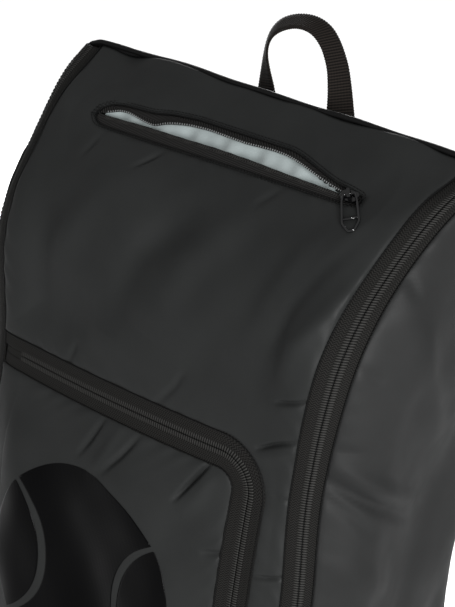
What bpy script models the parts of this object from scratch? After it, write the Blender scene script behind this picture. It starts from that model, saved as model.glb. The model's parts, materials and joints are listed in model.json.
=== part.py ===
"""Racket backpack: a tall, self-standing pack with two long side zips, a zipped pocket high on the
sloping front, a zipped front pocket, a haul loop and two padded shoulder straps.

Units are metres and +Z is up. The base stands on z = 0, the front faces -Y, and the origin is the
middle of the base. The skin is a stack of rounded rectangular sections that close to a seam at the top.
A place on the skin is given by its arc length round the section, from the front centre towards +X,
and its height.
"""

import math
from functools import lru_cache

import bmesh
import bpy
from mathutils import Vector

# Driving sizes of the body
HEIGHT = 0.720
HALF_WIDTH = 0.175
TOP_HALF_WIDTH = 0.184
WIDENING_FROM = 0.600
FRONT_Y = -0.115
FRONT_BELLY = 0.004
FRONT_CROWN = 0.006
CROWN_LOW = 0.085
CROWN_HIGH = 0.600
RIDGE_Y = 0.001
REAR_TOP_Y = 0.092
REAR_BASE_Y = 0.125
REAR_STRAIGHT_BELOW = 0.560
FRONT_CORNER = 0.060
REAR_CORNER = 0.045
SMALLEST_CORNER = 0.002
FULL_CORNER_DEPTH = 0.170
FRONT_CURVE = ((RIDGE_Y, HEIGHT), (-0.058, 0.682), (FRONT_Y, 0.650), (FRONT_Y, 0.575))
REAR_CURVE = ((RIDGE_Y, HEIGHT), (0.039, 0.688), (0.088, 0.620), (REAR_TOP_Y, REAR_STRAIGHT_BELOW))

# Fabrics and gaps
GAP = 0.0003
SHELL = 0.0015
THINNEST_SHARE = 0.15
BASE_WALL = 0.0025
BASE_FLOOR = 0.0026
BASE_TOP = 0.040
BASE_EDGE = 0.010
PANEL_BOTTOM = BASE_TOP + GAP
PANEL_TOP = 0.718
ZIP_TOP = 0.7155
REAR_PADDING = 0.006

# Zips: half of the visible width, the coil beside the middle line, and their heights on the skin
ZIP_HALF = 0.012
POCKET_ZIP_HALF = 0.0128
TOP_ZIP_HALF = 0.0070
COIL_FROM = 0.0005
COIL_TO = 0.0024
TAPE_FACE = -0.0003
TAPE_BACK = -0.0011
COIL_FACE = 0.0004
COIL_BACK = -0.0014

# Inner edge of the side zips, as a half width of the front panel
FRONT_HALF = 0.1365
FRONT_HALF_LOW = 0.006
FRONT_HALF_TOP = 0.028
FRONT_SPREAD = 1.9
STRAIGHT_ZIP_TOP = 0.400

# Front pocket: middle line of its zip, and the edge that it opens on
POCKET_LEFT = -0.1335
POCKET_RIGHT = 0.1075
POCKET_TOP = 0.5035
POCKET_LOW = 0.0685
POCKET_TURN = 0.0275
POCKET_BULGE = 0.010
POCKET_DEPTH = 0.024
COIL_START = -0.112
POCKET_SEWN_END = -0.084
POCKET_STOPS = (-0.132, -0.126, -0.119, -0.112, -0.075, -0.035, 0.005, 0.045)

# Printed emblem on the pocket cover
EMBLEM_X = -0.022
EMBLEM_Z = 0.360
EMBLEM_RADIUS = 0.088
SEAM_CENTRE = 1.15 * EMBLEM_RADIUS
SEAM_RADIUS = 0.75 * EMBLEM_RADIUS
SEAM_GAP = 0.007
FILM_FACE = 0.0007

# Pocket high on the front: middle line of its zip
SLIT_LEFT = -0.115
SLIT_RIGHT = 0.109
SLIT_Z = 0.684
SLIT_ARCH = 0.0144
SLIT_BAG_BOTTOM = 0.600

# Heights at which the panels and the side zips are cut, closer together where the front curves
STATIONS = (PANEL_BOTTOM, 0.130, 0.220, 0.310, STRAIGHT_ZIP_TOP,
            0.425, 0.450, 0.475, 0.500, 0.525, 0.550, 0.575, 0.600, 0.620,
            0.640, 0.655, 0.670, 0.682, 0.692, 0.700, 0.708, ZIP_TOP)

LOOKS = {
    "shell": ((0.042, 0.043, 0.044), 0.55, 0.0),
    "side_shell": ((0.050, 0.051, 0.052), 0.55, 0.0),
    "base_fabric": ((0.020, 0.020, 0.021), 0.60, 0.0),
    "tape": ((0.020, 0.019, 0.017), 0.80, 0.0),
    "coil": ((0.010, 0.010, 0.010), 0.45, 0.0),
    "webbing": ((0.013, 0.012, 0.011), 0.75, 0.0),
    "piping": ((0.004, 0.004, 0.004), 0.35, 0.0),
    "hardware": ((0.012, 0.012, 0.013), 0.22, 0.9),
    "lining": ((0.560, 0.600, 0.600), 0.45, 0.0),
    "pocket_lining": ((0.030, 0.031, 0.032), 0.65, 0.0),
    "film": ((0.004, 0.004, 0.005), 0.12, 0.0),
    "padding": ((0.018, 0.018, 0.019), 0.90, 0.0),
    "buckle": ((0.010, 0.010, 0.010), 0.35, 0.0),
    "board": ((0.030, 0.030, 0.030), 0.50, 0.0),
}


def clear_scene():
    for thing in list(bpy.data.objects):
        bpy.data.objects.remove(thing, do_unlink=True)


def material(name, look):
    colour, roughness, metallic = LOOKS[look]
    made = bpy.data.materials.new(name)
    made.use_nodes = True
    shader = made.node_tree.nodes["Principled BSDF"]
    shader.inputs["Base Color"].default_value = (*colour, 1.0)
    shader.inputs["Roughness"].default_value = roughness
    shader.inputs["Metallic"].default_value = metallic
    made.diffuse_color = (*colour, 1.0)
    return made


def tidy(mesh):
    """Outward faces, shaded smooth except across sharp edges."""
    sharp = math.radians(35)
    work = bmesh.new()
    work.from_mesh(mesh)
    bmesh.ops.recalc_face_normals(work, faces=work.faces)
    for face in work.faces:
        face.smooth = True
    for edge in work.edges:
        edge.smooth = len(edge.link_faces) == 2 and edge.calc_face_angle(0.0) < sharp
    work.to_mesh(mesh)
    work.free()


def add_object(name, points, faces, look, origin=(0.0, 0.0, 0.0)):
    origin = Vector(origin)
    mesh = bpy.data.meshes.new(name)
    mesh.from_pydata([Vector(point) - origin for point in points], [], faces)
    tidy(mesh)
    made = bpy.data.objects.new(name, mesh)
    made.location = origin
    made.data.materials.append(material(name, look))
    bpy.context.scene.collection.objects.link(made)
    return made


def combine(base, tool, operation):
    """Cuts the tool from the base, or joins it on, and takes the tool away."""
    step = base.modifiers.new("combine", "BOOLEAN")
    step.operation = operation
    step.solver = "EXACT"
    step.object = tool
    graph = bpy.context.evaluated_depsgraph_get()
    mesh = bpy.data.meshes.new_from_object(base.evaluated_get(graph))
    base.modifiers.clear()
    old = base.data
    name = old.name
    base.data = mesh
    bpy.data.meshes.remove(old)
    mesh.name = name
    tidy(mesh)
    used = tool.data
    bpy.data.objects.remove(tool, do_unlink=True)
    bpy.data.meshes.remove(used)
    return base


def lerp(a, b, t):
    return a + (b - a) * t


def smooth(t):
    t = min(max(t, 0.0), 1.0)
    return t * t * (3.0 - 2.0 * t)


def spread(low, high, count):
    return [lerp(low, high, i / count) for i in range(count + 1)]


def bezier(curve, t):
    u = 1.0 - t
    weights = (u**3, 3 * u * u * t, 3 * u * t * t, t**3)
    return [sum(w * point[axis] for w, point in zip(weights, curve)) for axis in range(len(curve[0]))]


def curve_y(curve, z):
    """The y at height z on a curve that only falls."""
    low, high = 0.0, 1.0
    for _ in range(40):
        middle = (low + high) / 2
        if bezier(curve, middle)[1] > z:
            low = middle
        else:
            high = middle
    return bezier(curve, low)[0]


def front_y(z):
    belly = FRONT_BELLY * smooth((0.56 - z) / 0.14)
    if z <= FRONT_CURVE[-1][1]:
        return FRONT_Y - belly
    return curve_y(FRONT_CURVE, z) - belly


def rear_y(z):
    if z <= REAR_STRAIGHT_BELOW:
        return lerp(REAR_BASE_Y, REAR_TOP_Y, z / REAR_STRAIGHT_BELOW)
    return curve_y(REAR_CURVE, z)


@lru_cache(maxsize=None)
def section(z):
    """Front y, rear y, half width, front corner and rear corner of the body at height z."""
    near_floor = max(BASE_EDGE - z, 0.0)
    inset = BASE_EDGE - math.sqrt(max(BASE_EDGE**2 - near_floor**2, 0.0))
    front = front_y(z) + inset
    rear = rear_y(z) - inset
    half = lerp(HALF_WIDTH, TOP_HALF_WIDTH, smooth((z - WIDENING_FROM) / (HEIGHT - WIDENING_FROM))) - inset
    roundness = smooth((rear - front) / FULL_CORNER_DEPTH)
    front_corner = FRONT_CORNER * roundness + SMALLEST_CORNER
    rear_corner = REAR_CORNER * roundness + SMALLEST_CORNER
    return front, rear, half, front_corner, rear_corner


def half_round(z):
    """Arc length from the front centre to the rear centre."""
    front, rear, half, near, far = section(z)
    flats = (half - near) + (rear - front - near - far) + (half - far)
    return flats + (near + far) * math.pi / 2


def skin_flat(arc, z):
    """The skin without a lift: a point for an arc from minus half round to three times half round."""
    front, rear, half, near, far = section(z)
    total = half_round(z)
    side = 1.0
    if arc < 0.0:
        side, arc = -1.0, -arc
    if arc > total:
        side, arc = -side, 2.0 * total - arc
    flat = half - near
    if arc <= flat:
        swell = smooth((CROWN_HIGH - z) / 0.12) * smooth((z - CROWN_LOW) / 0.10)
        crown = FRONT_CROWN * swell * (1.0 - (arc / flat) ** 2)
        return Vector((side * arc, front - crown, z))
    arc -= flat
    if arc <= near * math.pi / 2:
        turn = arc / near
        return Vector((side * (flat + near * math.sin(turn)), front + near * (1 - math.cos(turn)), z))
    arc -= near * math.pi / 2
    deep = rear - front - near - far
    if arc <= deep:
        return Vector((side * half, front + near + arc, z))
    arc -= deep
    if arc <= far * math.pi / 2:
        turn = arc / far
        return Vector((side * (half - far + far * math.cos(turn)), rear - far + far * math.sin(turn), z))
    arc -= far * math.pi / 2
    return Vector((side * (half - far - arc), rear, z))


def outward(arc, z):
    """Unit normal of the skin."""
    step = 0.0004
    top = min(z + step, HEIGHT - step)
    along = skin_flat(arc + step, z) - skin_flat(arc - step, z)
    rise = skin_flat(arc, top) - skin_flat(arc, top - 2 * step)
    return along.cross(rise).normalized()


def skin(arc, z, lift=0.0):
    return skin_flat(arc, z) + outward(arc, z) * lift


def arc_at_x(x, z):
    """Arc length at a distance x from the middle, on the front face or its corner."""
    _, _, half, near, _ = section(z)
    flat = half - near
    if abs(x) <= flat:
        return x
    turn = math.asin(min((abs(x) - flat) / near, 1.0))
    return math.copysign(flat + near * turn, x)


def zip_inner(z):
    """Arc length of the inner edge of a side zip."""
    climb = max((z - 0.52) / (0.708 - 0.52), 0.0)
    x = FRONT_HALF + FRONT_HALF_TOP * climb**FRONT_SPREAD + FRONT_HALF_LOW * smooth((0.50 - z) / 0.10)
    return arc_at_x(x, z)


def zip_middle(z):
    return zip_inner(z) + ZIP_HALF


def zip_outer(z):
    return zip_inner(z) + 2 * ZIP_HALF


def side_end(z):
    """Arc length at which a side panel meets the rear panel, part of the way round the rear corner."""
    _, _, half, near, far = section(z)
    return half_round(z) - (half - far) - far * math.pi / 2 * 0.4


def depth_share(z, thickness):
    """A thickness, made thinner where the body closes to its top seam."""
    front, rear, _, _, _ = section(z)
    return min(thickness, THINNEST_SHARE * (rear - front))


def grid_solid(name, outer, inner, rows, columns, look, origin=(0.0, 0.0, 0.0)):
    """Closed solid between two surfaces, each a function of a row value and a column value."""
    points = []
    for surface in (outer, inner):
        for row in rows:
            for column in columns:
                points.append(surface(column, row))
    wide = len(columns)
    tall = len(rows)
    back = wide * tall
    faces = []
    for i in range(tall - 1):
        for j in range(wide - 1):
            a = i * wide + j
            quad = (a, a + 1, a + 1 + wide, a + wide)
            faces.append(quad)
            faces.append(tuple(back + corner for corner in reversed(quad)))
    rim = [j for j in range(wide)]
    rim += [i * wide + wide - 1 for i in range(1, tall)]
    rim += [(tall - 1) * wide + j for j in range(wide - 2, -1, -1)]
    rim += [i * wide for i in range(tall - 2, 0, -1)]
    for a, b in zip(rim, rim[1:] + rim[:1]):
        faces.append((b, a, back + a, back + b))
    return add_object(name, points, faces, look, origin)


def skin_strip(name, low, high, rows, across, face, thickness, look):
    """Strip of skin between two arc lengths that change with height."""
    def outer(share, z):
        return skin(lerp(low(z), high(z), share), z, face)

    def inner(share, z):
        return skin(lerp(low(z), high(z), share), z, face - depth_share(z, thickness))

    return grid_solid(name, outer, inner, rows, spread(0.0, 1.0, across), look)


def loft(name, rings, look, origin=(0.0, 0.0, 0.0), round_again=False):
    """Closed solid through rings of equally many points, capped at both ends or joined end to end."""
    count = len(rings[0])
    points = [point for ring in rings for point in ring]
    last = len(rings) - 1
    faces = []
    for i in range(len(rings) if round_again else last):
        here, there = i * count, (i + 1) % len(rings) * count
        for j in range(count):
            k = (j + 1) % count
            faces.append((here + j, here + k, there + k, there + j))
    if not round_again:
        faces.append(tuple(range(count - 1, -1, -1)))
        faces.append(tuple(last * count + j for j in range(count)))
    return add_object(name, points, faces, look, origin)


def prism(name, outline, place, low, high, look="shell", origin=(0.0, 0.0, 0.0)):
    """Outline of pairs, swept from low to high; place turns a pair and a height into a point."""
    rings = [[place(a, b, level) for a, b in outline] for level in (low, high)]
    return loft(name, rings, look, origin)


def frame_place(origin, first, second, third):
    """Places points by three directions from an origin."""
    def place(a, b, c):
        return origin + first * a + second * b + third * c

    return place


def arc_points(centre, radius, start, end, count):
    """Points of a circular arc, with angles in degrees."""
    found = []
    for angle in spread(math.radians(start), math.radians(end), count):
        found.append((centre[0] + radius * math.cos(angle), centre[1] + radius * math.sin(angle)))
    return found


def along_y(a, b, c):
    return Vector((a, c, b))


def along_x(a, b, c):
    return Vector((c, a, b))


# Body ---------------------------------------------------------------------------------------------

RING_POINTS = 56


def base_ring(z, lift, level):
    total = half_round(z)
    ring = []
    for i in range(RING_POINTS):
        point = skin(lerp(-total, total, i / RING_POINTS), z, lift)
        ring.append(Vector((point.x, point.y, level)))
    return ring


def base_panel():
    """Floor of heavy coated fabric with a rounded lower edge."""
    loft("base_panel", [base_ring(z, 0.0, z) for z in (0.0, 0.0013, BASE_FLOOR)], "base_fabric")


def base_band():
    """Heavy coated fabric round the foot of the bag."""
    heights = (BASE_FLOOR + GAP, 0.005, BASE_EDGE, BASE_TOP)
    rings = [base_ring(z, 0.0, z) for z in heights]
    rings += [base_ring(z, -BASE_WALL, z) for z in reversed(heights)]
    loft("base_band", rings, "base_fabric", round_again=True)


def base_board():
    rings = [base_ring(BASE_EDGE, -0.009, level) for level in (BASE_FLOOR + 2 * GAP, 0.0060)]
    loft("base_board", rings, "board")


def pocket_outline(offset):
    """Edge of the front pocket's opening, a distance outside the middle line of its zip."""
    turn = POCKET_TURN + offset
    top = (POCKET_RIGHT - POCKET_TURN, POCKET_TOP - POCKET_TURN)
    low = (POCKET_RIGHT - POCKET_TURN, POCKET_LOW + POCKET_TURN)
    return arc_points(low, turn, -90, 0, 6) + arc_points(top, turn, 0, 90, 6)


def slope_directions():
    """Uphill direction and outward normal of the front at the slit."""
    step = 0.001
    uphill = (skin_flat(0.0, SLIT_Z + step) - skin_flat(0.0, SLIT_Z - step)).normalized()
    return uphill, outward(0.0, SLIT_Z)


def slit_arch(x):
    """How far the upper edge of the open zip stands above its middle line."""
    share = min(max((SLIT_RIGHT - x) / (SLIT_RIGHT - SLIT_LEFT), 0.0), 1.0)
    return SLIT_ARCH * math.sin(math.pi * 0.82 * share**0.85)


def slit_outline(margin):
    """Edge of the slit in the shell, as pairs of x and uphill distance."""
    edge = TOP_ZIP_HALF + 2 * GAP + margin
    low_left = (SLIT_LEFT, 0.0)
    points = [(SLIT_RIGHT + 0.008, -edge)]
    points += arc_points((SLIT_RIGHT + 0.008, 0.0), edge, -45, 45, 2)
    for x in spread(SLIT_RIGHT + 0.008, SLIT_LEFT, 14):
        points.append((x, edge + slit_arch(x)))
    points.append((SLIT_LEFT - 0.004, edge + slit_arch(SLIT_LEFT) - 0.003))
    points.append((SLIT_LEFT - 0.006, 0.002))
    points += arc_points(low_left, edge, 225, 270, 2)
    return points


def slit_place():
    uphill, normal = slope_directions()
    return frame_place(skin_flat(0.0, SLIT_Z), Vector((1, 0, 0)), uphill, normal)


def front_panel():
    """Shell from the top seam to the base, open for the front pocket and for the slit."""
    rows = STATIONS + (PANEL_TOP,)
    panel = skin_strip("front_panel", lambda z: GAP - zip_inner(z), lambda z: zip_inner(z) - GAP,
                       rows, 14, 0.0, SHELL, "shell")
    beyond = -0.3
    outline = pocket_outline(POCKET_ZIP_HALF + GAP)
    outline = [(beyond, outline[0][1])] + outline + [(beyond, outline[-1][1])]
    opening = prism("pocket_cutter", outline, along_y, -0.20, -0.05)
    combine(panel, opening, "DIFFERENCE")
    slit = prism("slit_cutter", slit_outline(0.0), slit_place(), -0.010, 0.010)
    combine(panel, slit, "DIFFERENCE")


def side_panel(side):
    if side > 0:
        low, high = (lambda z: zip_outer(z) + GAP), (lambda z: side_end(z) - GAP / 2)
    else:
        low, high = (lambda z: GAP / 2 - side_end(z)), (lambda z: -zip_outer(z) - GAP)
    skin_strip(f"side_panel_{side_name(side)}", low, high, STATIONS, 8, 0.0, SHELL, "side_shell")


def side_name(side):
    return "right" if side > 0 else "left"


def rear_panel():
    rows = STATIONS + (PANEL_TOP,)
    skin_strip("rear_panel", lambda z: side_end(z) + GAP / 2,
               lambda z: 2 * half_round(z) - side_end(z) - GAP / 2,
               rows, 14, 0.0, REAR_PADDING, "padding")


def rear_frame_sheet():
    """Stiff sheet inside the rear panel."""
    half = 0.125
    rows = (0.055, REAR_STRAIGHT_BELOW - 0.015)
    skin_strip("rear_frame_sheet", lambda z: half_round(z) - half, lambda z: half_round(z) + half,
               rows, 2, -REAR_PADDING - GAP, 0.0016, "board")


def top_piping():
    """Thin cord along the top seam."""
    radius = 0.0022
    rings = []
    for x in (-TOP_HALF_WIDTH + 0.002, TOP_HALF_WIDTH - 0.002):
        circle = arc_points((RIDGE_Y, HEIGHT), radius, 0, 315, 7)
        rings.append([Vector((x, y, z)) for y, z in circle])
    loft("top_piping", rings, "piping")


# Side zips ----------------------------------------------------------------------------------------

def side_zip(side):
    """Two tapes and two coils, front and side of the middle line."""
    parts = (
        ("tape_front", -ZIP_HALF, -COIL_TO - GAP, TAPE_FACE, TAPE_FACE - TAPE_BACK, 2, "tape"),
        ("coil_front", -COIL_TO, -COIL_FROM, COIL_FACE, COIL_FACE - COIL_BACK, 1, "coil"),
        ("coil_side", COIL_FROM, COIL_TO, COIL_FACE, COIL_FACE - COIL_BACK, 1, "coil"),
        ("tape_side", COIL_TO + GAP, ZIP_HALF, TAPE_FACE, TAPE_FACE - TAPE_BACK, 2, "tape"),
    )
    for part, near, far, face, thickness, across, look in parts:
        if side > 0:
            low, high = (lambda z, d=near: zip_middle(z) + d), (lambda z, d=far: zip_middle(z) + d)
        else:
            low, high = (lambda z, d=far: -zip_middle(z) - d), (lambda z, d=near: -zip_middle(z) - d)
        name = f"main_zip_{side_name(side)}_{part}"
        skin_strip(name, low, high, STATIONS, across, face, thickness, look)


# Zip hardware -------------------------------------------------------------------------------------

SLIDER_FACE = 0.0008
SLIDER_TOP = 0.0020
SLIDER_UNDER = -0.0019
SLIDER_BACK = -0.0032
BRIDGE_REACH = 0.0050
BRIDGE_POST = 0.0013
BRIDGE_UNDER = 0.0046
BRIDGE_TOP = 0.0060
PIN_LIFT = 0.0033
PULLER_THICK = 0.0016
PULLER_SWING = math.radians(36.0)


def plate_outline():
    return [(-0.0065, -0.0028), (-0.0045, -0.0046), (0.0040, -0.0046), (0.0070, -0.0022),
            (0.0070, 0.0022), (0.0040, 0.0046), (-0.0045, 0.0046), (-0.0065, 0.0028)]


def bridge_outline():
    reach, inner = BRIDGE_REACH, BRIDGE_REACH - BRIDGE_POST
    low, chamfer = SLIDER_FACE + 0.0005, 0.001
    return [(-reach, low), (-reach, BRIDGE_TOP - chamfer), (-reach + chamfer, BRIDGE_TOP),
            (reach - chamfer, BRIDGE_TOP), (reach, BRIDGE_TOP - chamfer), (reach, low),
            (inner, low), (inner, BRIDGE_UNDER), (-inner, BRIDGE_UNDER), (-inner, low)]


def slider(name, origin, travel, normal, bridge, reach=1.0):
    """Two plates joined through the gap between the coils, with a bridge that runs along a direction."""
    across = normal.cross(travel)
    plates = frame_place(origin, travel, across, normal)
    body = prism(name, plate_outline(), plates, SLIDER_FACE, SLIDER_TOP, "hardware", origin)
    back = prism("back", plate_outline(), plates, SLIDER_BACK, SLIDER_UNDER)
    web_half = 0.00035
    web_outline = [(-0.0025, -web_half), (0.0025, -web_half), (0.0025, web_half), (-0.0025, web_half)]
    web = prism("web", web_outline, plates, SLIDER_BACK + 0.0005, SLIDER_TOP - 0.0005)
    combine(body, web, "UNION")
    combine(body, back, "UNION")
    arch = frame_place(origin, bridge * reach, normal, normal.cross(bridge))
    combine(body, prism("bridge", bridge_outline(), arch, -0.0012, 0.0012), "UNION")


def puller(name, origin, pin, hang, normal):
    """Open wire-form loop with a cross bar; the origin is the middle of its top bar."""
    place = frame_place(origin, pin, hang, normal)
    outer = [(-0.0050, -0.0009), (0.0050, -0.0009), (0.0062, 0.0070), (0.0068, 0.0265),
             (0.0028, 0.0345), (-0.0028, 0.0345), (-0.0068, 0.0265), (-0.0062, 0.0070)]
    hole = [(-0.0032, 0.0009), (0.0032, 0.0009), (0.0042, 0.0072), (0.0047, 0.0215),
            (-0.0047, 0.0215), (-0.0042, 0.0072)]
    low_hole = [(-0.0047, 0.0235), (0.0047, 0.0235), (0.0047, 0.0257), (0.0016, 0.0324),
                (-0.0016, 0.0324), (-0.0047, 0.0257)]
    half = PULLER_THICK / 2
    loop = prism(name, outer, place, -half, half, "hardware", origin)
    for outline in (hole, low_hole):
        cutter = prism("cutter", outline, place, -0.01, 0.01)
        combine(loop, cutter, "DIFFERENCE")
    return loop


def side_slider(side):
    """Closed end of the side zip, with the puller hanging straight down."""
    z = 0.100
    arc = side * zip_middle(z)
    origin = skin_flat(arc, z)
    normal = outward(arc, z)
    travel = Vector((0, 0, 1))
    slider(f"main_slider_{side_name(side)}", origin, travel, normal, travel)
    pin = normal.cross(travel)
    puller(f"main_puller_{side_name(side)}", origin + normal * PIN_LIFT, pin, -travel, normal)


# Front pocket -------------------------------------------------------------------------------------

def front_point(x, z, lift):
    return skin(arc_at_x(x, z), z, lift)


def run_stops(start, end):
    """Places along a straight run, closer together round the front corner."""
    low, high = min(start, end), max(start, end)
    found = [low] + [x for x in POCKET_STOPS if low < x < high] + [high]
    return found if start < end else found[::-1]


def pocket_turn(centre, start, end):
    """Quarter turn of the zip's middle line, with outward pairs."""
    found = []
    for angle in spread(math.radians(start), math.radians(end), 6):
        away = (math.cos(angle), math.sin(angle))
        place = (centre[0] + POCKET_TURN * away[0], centre[1] + POCKET_TURN * away[1])
        found.append((place, away))
    return found


def pocket_zip_path(start, end):
    """Middle line of the pocket zip from its top left end to its bottom left end, with outward pairs."""
    centre_x = POCKET_RIGHT - POCKET_TURN
    path = [((x, POCKET_TOP), (0.0, 1.0)) for x in run_stops(start, centre_x)[:-1]]
    path += pocket_turn((centre_x, POCKET_TOP - POCKET_TURN), 90, 0)
    path += pocket_turn((centre_x, POCKET_LOW + POCKET_TURN), 0, -90)
    path += low_run(centre_x, end)[1:]
    return path


def low_run(start, end):
    return [((x, POCKET_LOW), (0.0, -1.0)) for x in run_stops(start, end)]


def pocket_ribbon(name, path, edges, faces, look, origin=(0.0, 0.0, 0.0)):
    """Flat band beside the middle line of the pocket zip."""
    near, far = edges
    face, back = faces
    rings = []
    for (x, z), (away_x, away_z) in path:
        corners = ((near, face), (far, face), (far, back), (near, back))
        rings.append([front_point(x + away_x * d, z + away_z * d, lift) for d, lift in corners])
    return loft(name, rings, look, origin)


def hinge_point():
    """Middle of the front pocket's hinge line."""
    return Vector((POCKET_LEFT, FRONT_Y - FRONT_BELLY, (POCKET_TOP + POCKET_LOW) / 2))


def pocket_zip():
    """The frame's side of the zip, the cover's side, and the last stretch that stays sewn down."""
    tape, coil = (TAPE_FACE, TAPE_BACK), (COIL_FACE, COIL_BACK)
    tape_in, coil_in = (-POCKET_ZIP_HALF, -COIL_TO - GAP), (-COIL_TO, -COIL_FROM)
    tape_out, coil_out = (COIL_TO + GAP, POCKET_ZIP_HALF), (COIL_FROM, COIL_TO)
    frame_start, cover_start = GAP - FRONT_HALF, POCKET_LEFT + GAP
    sewn_to = POCKET_SEWN_END - GAP
    whole = pocket_zip_path(frame_start, frame_start)
    coils = pocket_zip_path(COIL_START, COIL_START)
    pocket_ribbon("pocket_zip_tape_frame", whole, tape_out, tape, "tape")
    pocket_ribbon("pocket_zip_coil_frame", coils, coil_out, coil, "coil")
    free_coil = pocket_zip_path(COIL_START, POCKET_SEWN_END)
    free_tape = pocket_zip_path(cover_start, POCKET_SEWN_END)
    pocket_ribbon("pocket_zip_coil_cover", free_coil, coil_in, coil, "coil", hinge_point())
    pocket_ribbon("pocket_zip_tape_cover", free_tape, tape_in, tape, "tape", hinge_point())
    pocket_ribbon("pocket_zip_tape_end", low_run(sewn_to, cover_start), tape_in, tape, "tape")
    pocket_ribbon("pocket_zip_coil_end", low_run(sewn_to, COIL_START), coil_in, coil, "coil")


def pocket_bulge(x, z):
    """How far the stuffed pocket cover stands out."""
    across = (x - POCKET_LEFT) / (POCKET_RIGHT - POCKET_LEFT)
    up = (z - POCKET_LOW) / (POCKET_TOP - POCKET_LOW)
    across = min(max(across, 0.0), 1.0)
    up = min(max(up, 0.0), 1.0)
    return POCKET_BULGE * smooth(6 * across * (1 - across)) * smooth(6 * up * (1 - up))


def front_pocket_cover():
    columns = spread(POCKET_LEFT + GAP, POCKET_RIGHT, 14)
    rows = spread(POCKET_LOW, POCKET_TOP, 18)
    cover = grid_solid("front_pocket_cover",
                       lambda x, z: front_point(x, z, pocket_bulge(x, z)),
                       lambda x, z: front_point(x, z, pocket_bulge(x, z) - SHELL),
                       rows, columns, "shell", hinge_point())
    outline = pocket_outline(-POCKET_ZIP_HALF - GAP)
    outline = [(-0.2, outline[0][1])] + outline + [(-0.2, outline[-1][1])]
    keep = prism("cover_outline", outline, along_y, -0.20, -0.05)
    combine(cover, keep, "INTERSECT")


def pocket_hinge_strip():
    """Sewn hem of the cover, between its fold and the side zip."""
    low, high = POCKET_LOW - COIL_TO + GAP, POCKET_TOP + COIL_TO - GAP
    rows = [z for z in STATIONS if low < z < high]
    rows = [low] + rows + [high]

    def point(share, z, lift):
        return skin(lerp(GAP - zip_inner(z), POCKET_LEFT - GAP / 2, share), z, lift)

    grid_solid("front_pocket_hinge_strip", lambda share, z: point(share, z, 0.0),
               lambda share, z: point(share, z, -SHELL), rows, [0.0, 1.0], "shell")


def front_pocket_liner():
    """Tray behind the cover."""
    front = FRONT_Y + 0.0035
    back = front + POCKET_DEPTH
    wall = 0.0012
    outer = rounded_outline(POCKET_LEFT, 0.1185, POCKET_LOW - 0.011, POCKET_TOP + 0.011, 0.020)
    inner = rounded_outline(POCKET_LEFT + wall, 0.1185 - wall, POCKET_LOW - 0.011 + wall,
                            POCKET_TOP + 0.011 - wall, 0.020 - wall)
    tray = prism("front_pocket_liner", outer, along_y, front, back, "pocket_lining")
    hollow = prism("hollow", inner, along_y, front - 0.02, back - wall)
    combine(tray, hollow, "DIFFERENCE")


def rounded_outline(left, right, low, high, radius):
    """Rounded rectangle, anticlockwise from its lower right corner."""
    points = arc_points((right - radius, low + radius), radius, -90, 0, 4)
    points += arc_points((right - radius, high - radius), radius, 0, 90, 4)
    points += arc_points((left + radius, high - radius), radius, 90, 180, 4)
    points += arc_points((left + radius, low + radius), radius, 180, 270, 4)
    return points


def pocket_slider():
    """Closed end of the front pocket's zip, on its lower run."""
    x = -0.098
    origin = front_point(x, POCKET_LOW, 0.0)
    normal = outward(arc_at_x(x, POCKET_LOW), POCKET_LOW)
    travel = Vector((0, 0, 1)).cross(normal).normalized()
    slider("pocket_slider", origin, travel, normal, travel)
    pin = normal.cross(travel)
    puller("pocket_puller", origin + normal * PIN_LIFT, pin, travel, normal)


def emblem_half_width(rise):
    """Half width of the emblem's middle piece at a height above its centre."""
    edge = math.sqrt(max(EMBLEM_RADIUS**2 - rise**2, 0.0))
    if abs(rise) >= SEAM_RADIUS:
        return edge
    return min(edge, seam_x(rise) - SEAM_GAP / 2)


def seam_x(rise):
    return SEAM_CENTRE - math.sqrt(SEAM_RADIUS**2 - rise**2)


def emblem():
    """Plain glossy disc printed on the pocket cover, parted by two curved lines as on a ball."""
    def piece(name, rise, low, high, count):
        def place(share, up, lift):
            x = EMBLEM_X + lerp(low(up), high(up), share)
            z = EMBLEM_Z + up
            return front_point(x, z, pocket_bulge(x, z) + lift)

        grid_solid(name, lambda share, up: place(share, up, FILM_FACE),
                   lambda share, up: place(share, up, GAP), spread(-rise, rise, count),
                   spread(0.0, 1.0, 4), "film", hinge_point())

    def edge(up):
        return math.sqrt(EMBLEM_RADIUS**2 - up**2)

    def seam(up):
        return seam_x(up) + SEAM_GAP / 2

    meeting = (SEAM_CENTRE**2 + SEAM_RADIUS**2 - EMBLEM_RADIUS**2) / (2 * SEAM_CENTRE)
    side_rise = 0.96 * math.sqrt(SEAM_RADIUS**2 - meeting**2)
    middle_rise = 0.99 * EMBLEM_RADIUS
    piece("emblem_middle", middle_rise, lambda up: -emblem_half_width(up), emblem_half_width, 24)
    piece("emblem_right", side_rise, seam, edge, 12)
    piece("emblem_left", side_rise, lambda up: -edge(up), lambda up: -seam(up), 12)


# Pocket high on the front -------------------------------------------------------------------------

@lru_cache(maxsize=None)
def slit_height(uphill_distance):
    """Height of the skin at a distance uphill of the slit's middle line."""
    uphill, _ = slope_directions()
    middle_line = skin_flat(0.0, SLIT_Z)
    low, high = SLIT_Z - 0.03, SLIT_Z + 0.03
    for _ in range(40):
        middle = (low + high) / 2
        if (skin_flat(0.0, middle) - middle_line).dot(uphill) < uphill_distance:
            low = middle
        else:
            high = middle
    return low


def slit_point(x, uphill_distance, lift):
    return skin(x, slit_height(uphill_distance), lift)


def slit_ribbon(name, left, right, low, high, face, back, look):
    """Band along the slit; its low and high edges are functions of x."""
    rings = []
    for x in spread(left, right, 18):
        corners = ((low(x), face), (high(x), face), (high(x), back), (low(x), back))
        rings.append([slit_point(x, distance, lift) for distance, lift in corners])
    loft(name, rings, look)


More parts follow.
